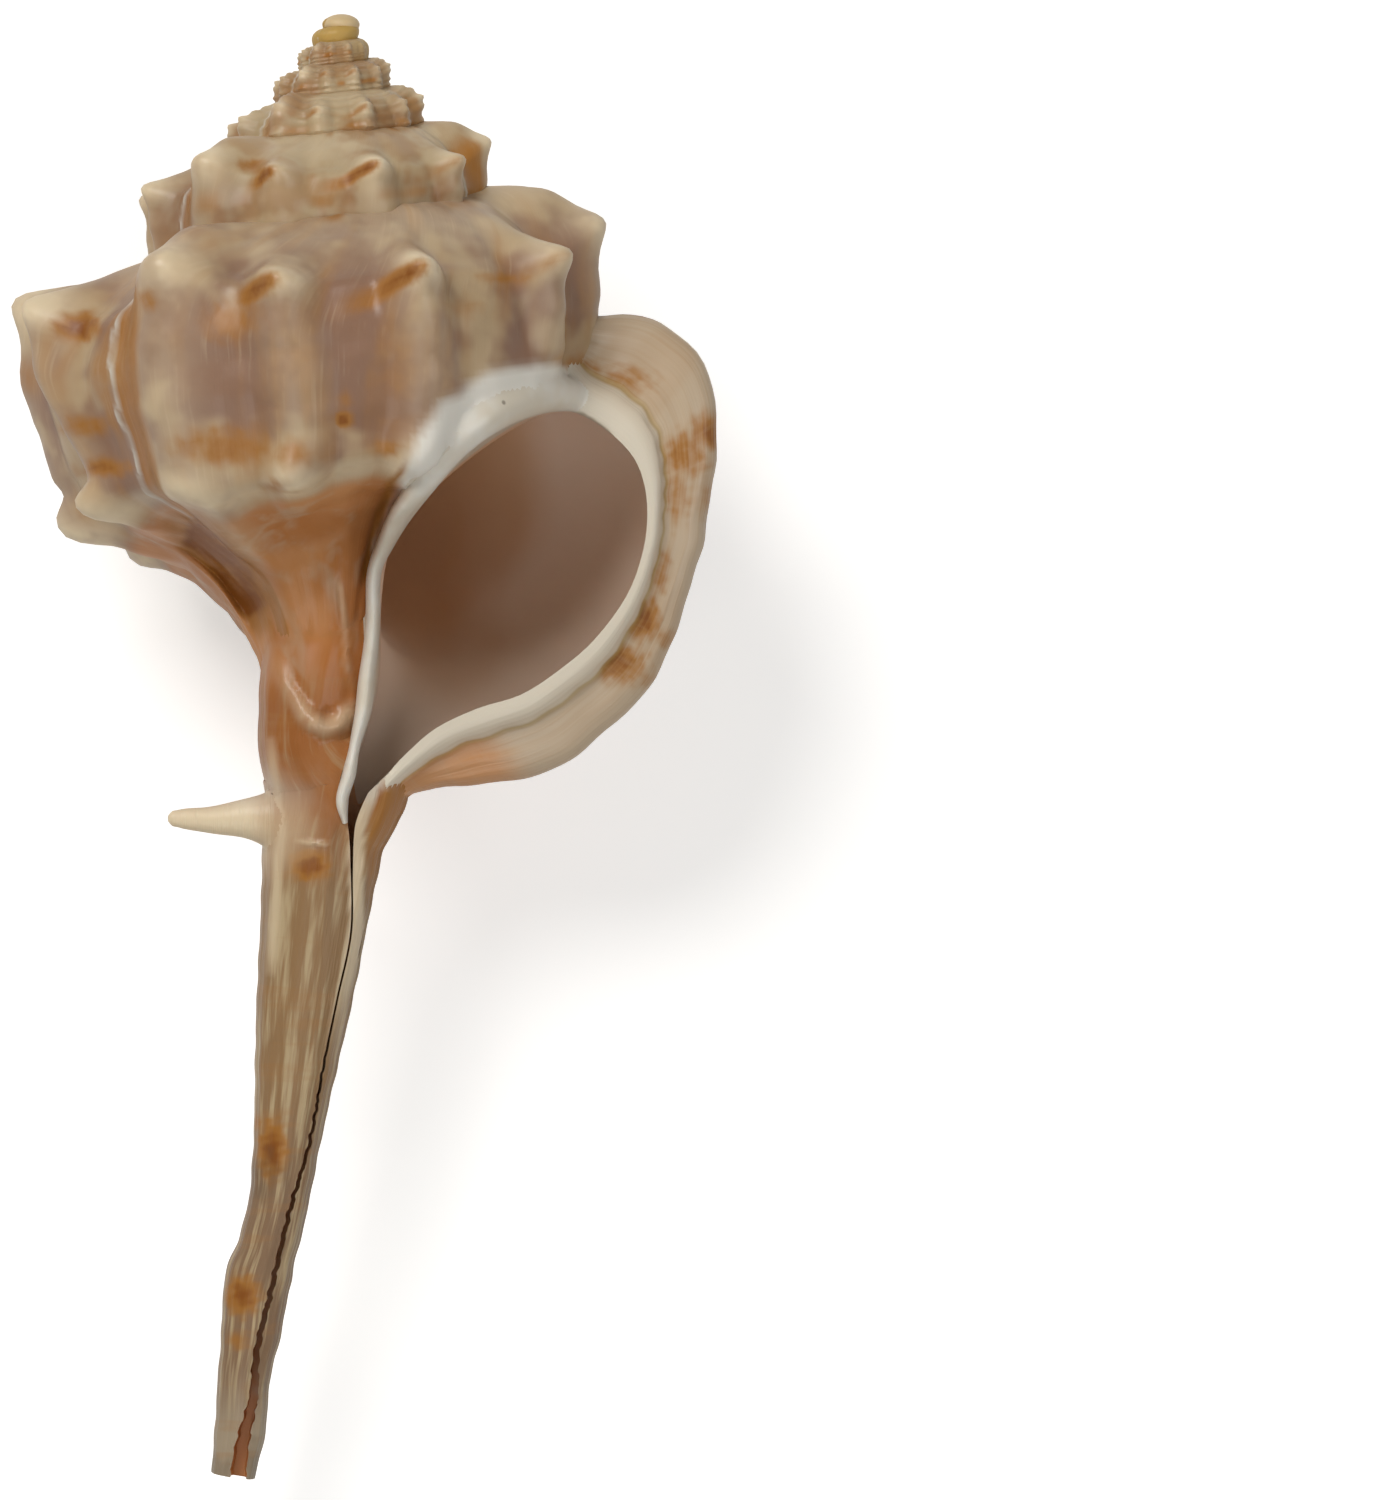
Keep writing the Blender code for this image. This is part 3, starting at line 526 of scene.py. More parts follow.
# siphonal canal: rows of Y, X, half width, Z, half depth
canal = {"rings": 260, "round": 72, "wobble": 0.05, "rows": np.array([
    [-22.5, 0.0, 1.60, 0.20, 1.50], [-24.5, -0.05, 2.10, 0.25, 2.00],
    [-26.5, -0.30, 2.50, 0.30, 2.35], [-28.5, -0.75, 2.60, 0.38, 2.50],
    [-30.1, -1.00, 2.45, 0.40, 2.55], [-31.9, -1.15, 2.35, 0.40, 2.60], [-32.9, -0.75, 2.75, 0.35, 2.65],
    [-33.8, -0.10, 3.25, 0.30, 2.65], [-34.7, -0.25, 3.00, 0.30, 2.60],
    [-36.0, -0.62, 2.72, 0.25, 2.50], [-37.7, -0.82, 2.52, 0.20, 2.35],
    [-41.6, -1.28, 2.20, 0.10, 2.05], [-46.1, -1.85, 1.80, 0.00, 1.70],
    [-50.1, -2.33, 1.41, -0.10, 1.40], [-52.5, -2.68, 1.32, -0.20, 1.30],
    [-54.1, -3.08, 1.32, -0.25, 1.28], [-55.5, -3.50, 1.43, -0.30, 1.25],
    [-58.1, -3.87, 1.30, -0.45, 1.20], [-60.1, -4.18, 1.14, -0.55, 1.10],
    [-62.0, -4.31, 1.10, -0.70, 1.00], [-64.3, -4.66, 0.95, -0.85, 0.90]])}
# the slit along the canal: rows of Y, X, half width
slit = {"rings": 240, "ragged": 0.05, "boreShare": 0.24, "rows": np.array([
    [-32.9, 1.60, 0.80], [-33.7, 1.15, 0.55], [-34.6, 0.85, 0.36], [-35.8, 0.66, 0.14],
    [-37.7, 0.66, 0.05], [-40.3, 0.62, 0.045], [-43.3, 0.00, 0.045], [-46.3, -0.62, 0.06],
    [-49.6, -1.23, 0.08], [-52.5, -2.07, 0.10], [-56.0, -2.90, 0.12], [-59.1, -3.60, 0.15],
    [-60.7, -3.70, 0.20], [-62.7, -4.18, 0.30], [-65.2, -4.50, 0.38]])}


def readRows(rows, y, columns):
    # columns of a table, read smoothly at heights that run down from its first row's
    return [smoothRead(-y, -rows[:, 0], rows[:, k]) for k in columns]


def canalTube(material):
    # the closed tube of the canal; the slit is cut into it afterwards
    rows = canal["rows"]
    y = np.linspace(rows[0, 0], rows[-1, 0], canal["rings"])
    x, half, z, deep = readRows(rows, y, (1, 2, 3, 4))
    half = half + canal["wobble"] * ripple(1.1 * y, 0.3 * y, 0.9)

    def masks(rings):
        shift, grooveShade, ridge = reliefShift(rings)
        rings[..., 2] += shift
        share = np.broadcast_to(np.linspace(0, 1, rings.shape[1])[None, :], rings.shape[:2])
        # painted shade in the deep grooves at the canal root, carried with the brown marks
        brown = np.maximum(blotchMask(rings), 0.95 * grooveShade)
        # pale edge that carries the white rim on down the right side of the slit
        slitX, slitHalf = readRows(slit["rows"], rings[..., 1], (1, 2))
        beside = rings[..., 0] - slitX - slitHalf
        pale = ease(-0.25, -0.1, beside) * (1 - ease(0.35, 0.55, beside)) * (rings[..., 2] > 0)
        pale = pale * ease(-47, -40, rings[..., 1]) * ease(-31, -33, rings[..., 1])
        flank = ease(0.45, 0.75, beside) * ease(-43, -35, rings[..., 1])
        flank = flank * ease(-31, -33, rings[..., 1])
        root = np.linalg.norm(rings - (-2.6, -35.4, 1.0), axis=-1)
        pale = np.maximum(pale, 0.5 * (1 - ease(1.4, 3.2, root)))
        brown = np.maximum(brown, 0.55 * flank)
        return {"place": (share, -rings[..., 1] / 10), "tints": (brown, ridge),
                "cover": (0.8 * pale, 0 * share)}

    def shape(angle):
        return 1 + 0.02 * np.sin(7 * angle) + 0.012 * np.sin(17 * angle + 1)

    path = np.stack([x, y, z], 1)
    return tubeSolid("canal", path, half, deep, (1, 0, 0), canal["round"], material, masks, shape)


def slitCutter(material):
    # a narrow slot that opens to the front, with a wider bore behind it
    rows = slit["rows"]
    y = np.linspace(rows[0, 0], rows[-1, 0], slit["rings"])
    x, half = readRows(rows, y, (1, 2))
    ragged = ease(-44, -48, y) * slit["ragged"] * (ripple(3.1 * y, 5 * y, 0.3) + 0.6 * np.sin(7.3 * y))
    x = x + ragged
    z, deep = readRows(canal["rows"], y, (3, 4))
    bore = np.maximum(half, slit["boreShare"] * deep)
    corners = [(-half, z + deep + 1.6), (-half, z + 0.42 * deep), (-bore, z + 0.12 * deep),
               (-0.7 * bore, z - 0.15 * deep), (0.7 * bore, z - 0.15 * deep),
               (bore, z + 0.12 * deep), (half, z + 0.42 * deep), (half, z + deep + 1.6)]
    rings = np.stack([np.stack([x + side, y, front], 1) for side, front in corners], 1)
    return ringSolid("slit", rings, None, material)


# erect edge of the inner lip: rows of X, Y, Z, half across, half deep
callus = {"rings": 160, "round": 28, "wobble": 0.04, "rows": np.array([
    [11.2, -17.2, 2.5, 0.30, 0.40], [10.45, -16.9, 2.9, 0.70, 0.60], [9.55, -16.75, 3.9, 0.88, 0.80],
    [7.8, -17.2, 6.4, 0.95, 1.00], [6.2, -18.15, 8.0, 0.92, 1.20], [5.0, -19.3, 8.1, 0.80, 1.30],
    [3.95, -20.7, 7.0, 0.60, 1.50], [3.0, -21.9, 4.9, 0.50, 1.50], [2.2, -23.2, 3.5, 0.40, 1.25],
    [1.72, -24.5, 3.0, 0.32, 1.05], [1.58, -26.3, 2.8, 0.33, 0.9], [1.48, -28.2, 2.8, 0.34, 0.9],
    [1.28, -29.9, 2.8, 0.38, 0.9], [1.02, -31.2, 2.8, 0.32, 0.85], [0.82, -32.3, 2.75, 0.24, 0.7],
    [0.52, -33.4, 2.75, 0.30, 0.8], [0.27, -34.5, 2.55, 0.30, 0.8], [0.36, -35.5, 2.4, 0.14, 0.5]])}


def callusEdge(material):
    # an ellipse carried along the inner lip, standing up from it
    rows = callus["rows"]
    place = np.linspace(0, len(rows) - 1, callus["rings"])
    x, y, z, half, deep = [smoothRead(place, np.arange(len(rows)), rows[:, k]) for k in range(5)]
    x = x + callus["wobble"] * np.sin(2.6 * place) * ease(6, 9, place)
    path = np.stack([x, y, z], 1)
    along = np.gradient(path, axis=0)
    sideways = np.cross(along, (0, 0, 1.0))
    return tubeSolid("callus", path, half, deep, sideways, callus["round"], material)


# canal spine: rows of distance out along minus X and half size
spine = {"y": -35.38, "z": 0.9, "tilt": 0.12, "flatness": 0.85, "rings": 60, "round": 32,
         "rows": np.array([
             [2.0, 1.6], [2.5, 1.55], [2.9, 1.4], [3.4, 1.15], [3.9, 0.96], [4.6, 0.77],
             [5.7, 0.57], [7.0, 0.38], [7.3, 0.28], [7.42, 0.12]])}


def canalSpine(material):
    # a tapering cone, pale from a little way out
    rows = spine["rows"]
    out = np.linspace(rows[0, 0], rows[-1, 0], spine["rings"])
    half = smoothRead(out, rows[:, 0], rows[:, 1])
    y = spine["y"] + 0.03 * np.sin(2 * out)
    path = np.stack([-out, y, spine["z"] + spine["tilt"] * (out - 2.6)], 1)

    def masks(rings):
        share = (-rings[..., 0] - 2.0) / 5.4
        pale = 0.45 + 0.55 * ease(0.1, 0.4, share)
        return {"place": (share, -rings[..., 1] / 10), "cover": (pale, 0 * share)}

    deep = spine["flatness"] * half
    return tubeSolid("spine", path, half, deep, (0, 1, 0), spine["round"], material, masks)


# bulbous tip: middle, half width and half height
bulb = {"middle": (0.15, -0.42, 0.0), "half": 0.80, "high": 0.46, "rings": 28, "round": 40}


def nucleus(material):
    # the bulbous tip: a ball, slightly flattened, drawn as rings from pole to pole
    angle = np.linspace(0, math.pi, bulb["rings"])
    half = np.maximum(np.sin(angle), 0.03) * bulb["half"]
    path = np.array(bulb["middle"]) - np.outer(np.cos(angle), (0, bulb["high"], 0))

    def masks(rings):
        same = 0 * rings[..., 0]
        return {"place": (same + 1.4, same + 0.3), "tints": (same, same + 0.55)}

    return tubeSolid("nucleus", path, half, half, (1, 0, 0), bulb["round"], material, masks)


# rod on the axis: heights and half widths
axisRod = {"y": [-0.3, -1.0, -3.0, -8.0, -15.0, -34.0], "half": [0.04, 0.09, 0.20, 0.42, 0.60, 0.85]}


def core(material):
    # a slender rod on the axis, thicker towards the base, that ties the sectors together
    y = np.array(axisRod["y"])
    half = np.array(axisRod["half"])
    return tubeSolid("core", np.stack([0 * y, y, 0 * y], 1), half, half, (1, 0, 0), 16, material)


# hollow of the last whorl: shares of the whorl radius at depth and nearer the lip
hollow = {"depth": -0.95, "centre": (0.50, 0.52), "drop": (0.50, 0.655), "high": (0.34, 0.465),
          "wide": (0.32, 0.385), "lean": (0.10, 0.36), "rings": 120, "round": 116}


def lumen(material):
    # a leaning ellipse swept back along the coil, which takes the aperture's outline at the lip
    turns = np.linspace(0, hollow["depth"], hollow["rings"])
    blend = ease(-0.45, -0.02, turns)
    mixed = {key: hollow[key][0] + (hollow[key][1] - hollow[key][0]) * blend
             for key in ("centre", "drop", "high", "wide", "lean")}
    radius, top = whorlSize(turns)
    close = 0.05 + 0.95 * np.sqrt(ease(hollow["depth"], hollow["depth"] + 0.12, turns))
    high = radius * mixed["high"] * close
    wide = radius * mixed["wide"] * close
    edge = mouthPoint(np.linspace(0, len(mouthEdge), hollow["round"], endpoint=False))
    middle = edge[:, None, :].mean(0)[0] + np.array([0.6, 1.2])
    angle = np.unwrap(np.arctan2((edge - middle)[:, 1], (edge - middle)[:, 0]))
    angle = 0.5 * angle + 0.5 * np.linspace(angle[0], angle[0] - 2 * math.pi, len(angle), endpoint=False)
    rise = high[:, None] * np.sin(angle)
    r = (radius * mixed["centre"])[:, None] + wide[:, None] * np.cos(angle) + mixed["lean"][:, None] * rise
    y = (top - radius * mixed["drop"])[:, None] + rise
    # the aperture's own outline at the lip, melting into the plain tube a little way in
    opening = ease(-0.16, 0.0, turns)[:, None]
    r = r + (edge[:, 0] / math.cos(lipAngle) - r) * opening
    y = y + (edge[:, 1] - y) * opening
    bearing = lipAngle + 2 * math.pi * turns[:, None]
    inner = np.stack([r * np.cos(bearing), y, r * np.sin(bearing)], -1)
    forward = np.array([-math.sin(lipAngle), 0, math.cos(lipAngle)])
    middle = inner[0].mean(0)
    ahead = np.array([9.0, 6.0, 4.5, 3.4, 2.6, 2.1, 1.7, 1.2, 0.6])
    grow = 1.0 + 0.012 * ease(0, 5, ahead)
    mouth = middle + (inner[:1] - middle) * grow[:, None, None] + forward * ahead[:, None, None]
    rings = np.concatenate([mouth, inner])

    def masks(rings):
        deep = np.concatenate([-ahead / 30, -turns])[:, None]
        return {"place": (deep + 0 * rings[..., 0], 0 * rings[..., 0])}

    return ringSolid("lumen", rings, masks, material)


# the shell's colours
palette = {
    "mauve": (0.275, 0.157, 0.102),
    "cream": (0.475, 0.345, 0.205),
    "tan": (0.37, 0.180, 0.060),
    "orange": (0.38, 0.160, 0.030),
    "brown": (0.20, 0.050, 0.004),
    "baseBrown": (0.56, 0.245, 0.085),
    "baseDeep": (0.46, 0.175, 0.048),
    "tip": (0.78, 0.64, 0.435),
    "oldLip": (0.66, 0.62, 0.54),
    "enamel": (0.77, 0.735, 0.655),
    "enamelGrey": (0.68, 0.615, 0.50),
    "rim": (0.66, 0.56, 0.43),
    "seam": (0.50, 0.35, 0.12),
    "lipCream": (0.53, 0.415, 0.29),
    # the hollow's own pale mauve, made lighter as painted light for the light that gets in
    "hollow": (0.86, 0.68, 0.55),
    # a darker tone of the hollow, also used as painted shade on its left
    "hollowToneAndShade": (0.70, 0.43, 0.245),
    # painted shade low in the hollow
    "hollowLowShade": (0.52, 0.40, 0.32),
    "rootBrown": (0.27, 0.095, 0.024),
    "canalPale": (0.30, 0.18, 0.085),
    "canalStreak": (0.47, 0.355, 0.205),
    "canalLow": (0.25, 0.155, 0.088),
    "canalTip": (0.38, 0.30, 0.205),
    "apex": (0.51, 0.325, 0.09),
    "spire": (0.46, 0.36, 0.215),
    "spireDeep": (0.34, 0.175, 0.062),
    "dirt": (0.10, 0.07, 0.045),
}


def addNode(tree, kind, links=None, values=None, **settings):
    # links: socket -> output; values: socket -> constant
    node = tree.nodes.new(kind)
    for key, value in settings.items():
        setattr(node, key, value)
    for key, value in (values or {}).items():
        node.inputs[key].default_value = value
    for key, source in (links or {}).items():
        tree.links.new(source, node.inputs[key])
    return node


def mathNode(tree, operation, first, second=None, third=None, clamp=False):
    node = tree.nodes.new("ShaderNodeMath")
    node.operation = operation
    node.use_clamp = clamp
    for k, item in enumerate((first, second, third)):
        if item is None:
            continue
        if isinstance(item, (int, float)):
            node.inputs[k].default_value = item
        else:
            tree.links.new(item, node.inputs[k])
    return node.outputs[0]


def times(tree, first, second, clamp=False):
    return mathNode(tree, "MULTIPLY", first, second, clamp=clamp)


def smoothMask(tree, value, low, high, toLow=0.0, toHigh=1.0):
    # toLow up to the low value, toHigh from the high one, and a smooth step between
    node = tree.nodes.new("ShaderNodeMapRange")
    node.interpolation_type = "SMOOTHSTEP"
    tree.links.new(value, node.inputs["Value"])
    for key, number in (("From Min", low), ("From Max", high), ("To Min", toLow), ("To Max", toHigh)):
        node.inputs[key].default_value = number
    return node.outputs["Result"]


def mixColour(tree, factor, first, second):
    # the colours are names in the palette or outputs of other nodes
    node = tree.nodes.new("ShaderNodeMix")
    node.data_type = "RGBA"
    tree.links.new(factor, node.inputs[0])
    for key, item in ((6, first), (7, second)):
        if isinstance(item, str):
            node.inputs[key].default_value = (*palette[item], 1)
        else:
            tree.links.new(item, node.inputs[key])
    return node.outputs[2]


def stretchedNoise(tree, vector, stretch, detail=2.0, roughness=0.5, offset=0.0):
    # noise with its own number of cells a unit along each axis
    scaled = tree.nodes.new("ShaderNodeMapping")
    tree.links.new(vector, scaled.inputs["Vector"])
    scaled.inputs["Scale"].default_value = stretch
    scaled.inputs["Location"].default_value = (offset, offset, offset)
    noise = tree.nodes.new("ShaderNodeTexNoise")
    tree.links.new(scaled.outputs["Vector"], noise.inputs["Vector"])
    noise.inputs["Scale"].default_value = 1
    noise.inputs["Detail"].default_value = detail
    noise.inputs["Roughness"].default_value = roughness
    return noise.outputs["Fac"]


def split(tree, vector):
    node = addNode(tree, "ShaderNodeSeparateXYZ", {"Vector": vector})
    return node.outputs["X"], node.outputs["Y"], node.outputs["Z"]


def mapParts(tree, name):
    # the two numbers of one of the piece's maps
    return split(tree, addNode(tree, "ShaderNodeUVMap", uv_map=name).outputs["UV"])[:2]


def newGroup(name, inputs, outputs):
    tree = bpy.data.node_groups.new(name, "ShaderNodeTree")
    for label, kind in inputs:
        tree.interface.new_socket(label, in_out="INPUT", socket_type=kind)
    for label, kind in outputs:
        tree.interface.new_socket(label, in_out="OUTPUT", socket_type=kind)
    return tree, tree.nodes.new("NodeGroupInput"), tree.nodes.new("NodeGroupOutput")


# growth lines: fine and broad streaks across the direction of growth
growth, growthIn, growthOut = newGroup("growthLines", [("Place", "NodeSocketVector")],
                                       [("Fine", "NodeSocketFloat"), ("Broad", "NodeSocketFloat")])
alongCoil, downSection, _ = split(growth, growthIn.outputs["Place"])
swept = mathNode(growth, "ADD", alongCoil, smoothMask(growth, downSection, 0.0, 0.36, 0.045, 0.0))
bent = addNode(growth, "ShaderNodeCombineXYZ", {"X": swept, "Y": downSection}).outputs["Vector"]
fine = stretchedNoise(growth, bent, (330, 5, 1), 2.0, 0.55)
broad = stretchedNoise(growth, bent, (44, 2.6, 1), 2.0, 0.5, 3.3)
growth.links.new(fine, growthOut.inputs["Fine"])
growth.links.new(broad, growthOut.inputs["Broad"])

# worn and dusty bits: dark pin specks and a soft grey film, from the place on the shell
specks, specksIn, specksOut = newGroup("pinSpecks", [("Position", "NodeSocketVector")],
                                       [("Specks", "NodeSocketFloat"), ("Film", "NodeSocketFloat")])
cells = addNode(specks, "ShaderNodeTexVoronoi", {"Vector": specksIn.outputs["Position"]},
                {"Scale": 520.0, "Randomness": 1.0})
sparse = addNode(specks, "ShaderNodeSeparateColor", {"Color": cells.outputs["Color"]})
chosen = smoothMask(specks, sparse.outputs[0], 0.90, 0.93)
dot = smoothMask(specks, cells.outputs["Distance"], 0.075, 0.03)
specks.links.new(times(specks, chosen, dot), specksOut.inputs["Specks"])
film = stretchedNoise(specks, specksIn.outputs["Position"], (260, 260, 260), 3.0, 0.6)
specks.links.new(film, specksOut.inputs["Film"])

finish = {
    "bumpHeight": 0.04 * mm,
    "bumpStrength": 0.6,
    "shader": {"Roughness": 0.32, "IOR": 1.45, "Specular IOR Level": 0.36, "Subsurface Weight": 0.07,
               "Subsurface Radius": (1.0, 0.6, 0.4), "Subsurface Scale": 0.6 * mm},
}


def newMaterial(name):
    material = bpy.data.materials.new(name)
    material.use_nodes = True
    tree = material.node_tree
    shader = tree.nodes["Principled BSDF"]
    place = addNode(tree, "ShaderNodeUVMap", uv_map="place").outputs["UV"]
    position = addNode(tree, "ShaderNodeTexCoord").outputs["Object"]
    return material, tree, shader, place, position


def useGroup(tree, group, **links):
    node = tree.nodes.new("ShaderNodeGroup")
    node.node_tree = group
    for key, source in links.items():
        tree.links.new(source, node.inputs[key])
    return node.outputs


def finishMaterial(tree, shader, colour, height, rough=None, bump=1.0):
    # colour, bump and polish, the same for every part of the shell
    tree.links.new(colour, shader.inputs["Base Color"])
    bumpNode = addNode(tree, "ShaderNodeBump", {"Height": height},
                       {"Strength": finish["bumpStrength"], "Distance": finish["bumpHeight"] * bump})
    tree.links.new(bumpNode.outputs["Normal"], shader.inputs["Normal"])
    if rough is not None:
        tree.links.new(rough, shader.inputs["Roughness"])
    for socket, value in finish["shader"].items():
        shader.inputs[socket].default_value = value


def baseTone(tree, position):
    # the same orange-brown on the base and the canal root, with pale lines down it
    streaks = stretchedNoise(tree, position, (520, 60, 520), 3.0, 0.6, 2.2)
    blocks = stretchedNoise(tree, position, (260, 200, 260), 1.0, 0.5, 4.6)
    colour = mixColour(tree, smoothMask(tree, blocks, 0.42, 0.60), "baseBrown", "baseDeep")
    paler = times(tree, smoothMask(tree, streaks, 0.55, 0.68), 0.30)
    colour = mixColour(tree, paler, colour, "lipCream")
    bent = addNode(tree, "ShaderNodeVectorMath", {0: position}, {1: (1.0, 0.6, 1.0)}, operation="MULTIPLY")
    shaken = addNode(tree, "ShaderNodeTexNoise", {"Vector": position}, {"Scale": 330.0, "Detail": 2.0})
    nudge = addNode(tree, "ShaderNodeVectorMath", {0: shaken.outputs["Color"], 2: bent.outputs[0]},
                    {1: (0.003, 0.003, 0.003)}, operation="MULTIPLY_ADD")
    cells = addNode(tree, "ShaderNodeTexVoronoi", {"Vector": nudge.outputs[0]}, {"Scale": 400.0},
                    feature="DISTANCE_TO_EDGE")
    net = smoothMask(tree, cells.outputs["Distance"], 0.16, 0.0)
    net = times(tree, net, smoothMask(tree, streaks, 0.40, 0.62, 0.02, 0.36))
    return mixColour(tree, net, colour, "lipCream")


def speckled(tree, colour, pins, strength):
    return mixColour(tree, times(tree, pins["Specks"], strength), colour, "dirt")


def brownTone(tree, amount, colour):
    # orange where the mark is thin, darker in its middle
    colour = mixColour(tree, smoothMask(tree, amount, 0.0, 0.65, 0.0, 0.9), colour, "orange")
    return mixColour(tree, smoothMask(tree, amount, 0.5, 1.1, 0.0, 0.8), colour, "brown")


def whorlMaterial():
    material, tree, shader, place, position = newMaterial("shellOutside")
    marks, creamAndRampLight = mapParts(tree, "tints")
    sheet, oldEdge = mapParts(tree, "cover")
    turn, across, _ = split(tree, place)
    lines = useGroup(tree, growth, Place=place)
    pins = useGroup(tree, specks, Position=position)
    clouds = stretchedNoise(tree, position, (180, 180, 180), 3.0, 0.55)
    colour = mixColour(tree, smoothMask(tree, clouds, 0.46, 0.60), "mauve", "cream")
    patches = stretchedNoise(tree, position, (330, 330, 330), 3.0, 0.6, 7.1)
    streak = times(tree, smoothMask(tree, lines["Broad"], 0.46, 0.70),
                      smoothMask(tree, patches, 0.35, 0.65, 0.25, 0.9))
    colour = mixColour(tree, streak, colour, "tan")
    pale = times(tree, smoothMask(tree, lines["Fine"], 0.50, 0.74),
                    smoothMask(tree, patches, 0.45, 0.65, 0.0, 0.16))
    colour = mixColour(tree, pale, colour, "tip")
    young = smoothMask(tree, turn, 7.1, 5.8)
    spireTone = mixColour(tree, smoothMask(tree, patches, 0.40, 0.56), "spireDeep", "spire")
    colour = mixColour(tree, times(tree, young, 0.75), colour, spireTone)
    first = smoothMask(tree, turn, 3.3, 2.8)
    colour = mixColour(tree, first, colour, "apex")
    patchy = smoothMask(tree, clouds, 0.30, 0.55, 0.8, 1.1)
    mottle = stretchedNoise(tree, position, (800, 500, 800), 3.0, 0.6, 9.4)
    brown = times(tree, marks, smoothMask(tree, mottle, 0.32, 0.62, 0.80, 1.1))
    brown = times(tree, brown, patchy)
    brown = times(tree, brown, smoothMask(tree, lines["Fine"], 0.2, 0.55, 0.88, 1.0),
                     clamp=True)
    base = smoothMask(tree, across, 0.645, 0.69)
    colour = mixColour(tree, times(tree, base, 0.95), colour, baseTone(tree, position))
    # cream on the raised parts, with painted light on the ramp by the suture
    crest = times(tree, creamAndRampLight, smoothMask(tree, patches, 0.35, 0.6, 0.60, 1.0))
    crest = mathNode(tree, "POWER", crest, 1.05)
    colour = mixColour(tree, crest, colour, "tip")
    colour = brownTone(tree, brown, colour)
    colour = mixColour(tree, times(tree, oldEdge, 0.9), colour, "oldLip")
    colour = mixColour(tree, sheet, colour, "enamel")
    colour = speckled(tree, colour, pins, 0.7)
    height = times(tree, lines["Fine"], mathNode(tree, "SUBTRACT", 0.4, sheet, clamp=True))
    height = mathNode(tree, "MULTIPLY_ADD", lines["Broad"], 1.2, height)
    height = mathNode(tree, "ADD", height, times(tree, patches, 2.5))
    rough = smoothMask(tree, patches, 0.35, 0.65, 0.30, 0.46)
    finishMaterial(tree, shader, colour, height, rough)
    return material


def lipMaterial():
    # place: X across the section, Y from the crest (0) to the rim (1)
    material, tree, shader, place, position = newMaterial("lipFace")
    across, ring, _ = split(tree, place)
    pins = useGroup(tree, specks, Position=position)
    rays = stretchedNoise(tree, place, (90, 1.5, 1), 2.0, 0.6)
    layers = stretchedNoise(tree, place, (5, 26, 1), 2.0, 0.6, 1.1)
    blocks = stretchedNoise(tree, place, (13, 0.8, 1), 0.0, 0.5, 5.7)
    layer = times(tree, smoothMask(tree, layers, 0.4, 0.7), 0.16)
    colour = mixColour(tree, layer, "lipCream", "tan")
    marks, _ = mapParts(tree, "tints")
    block = times(tree, smoothMask(tree, blocks, 0.50, 0.62), 0.15)
    mottle = stretchedNoise(tree, position, (800, 800, 800), 3.0, 0.6, 9.4)
    uneven = times(tree, marks, smoothMask(tree, mottle, 0.3, 0.65, 0.65, 1.1))
    uneven = times(tree, uneven, smoothMask(tree, layers, 0.35, 0.65, 0.8, 1.1))
    block = mathNode(tree, "MAXIMUM", block, uneven)
    colour = brownTone(tree, block, colour)
    tail = smoothMask(tree, across, 0.755, 0.80)
    colour = mixColour(tree, times(tree, tail, 0.75), colour, "baseBrown")
    ray = times(tree, smoothMask(tree, rays, 0.5, 0.75), 0.12)
    colour = mixColour(tree, ray, colour, "lipCream")
    seam = times(tree, smoothMask(tree, ring, 0.53, 0.60), 0.45)
    colour = mixColour(tree, seam, colour, "seam")
    rim = smoothMask(tree, ring, 0.60, 0.68)
    rimTone = mixColour(tree, smoothMask(tree, ring, 0.7, 0.95), "rim", "enamelGrey")
    colour = mixColour(tree, rim, colour, rimTone)
    colour = speckled(tree, colour, pins, 0.6)
    finishMaterial(tree, shader, colour, layers)
    return material


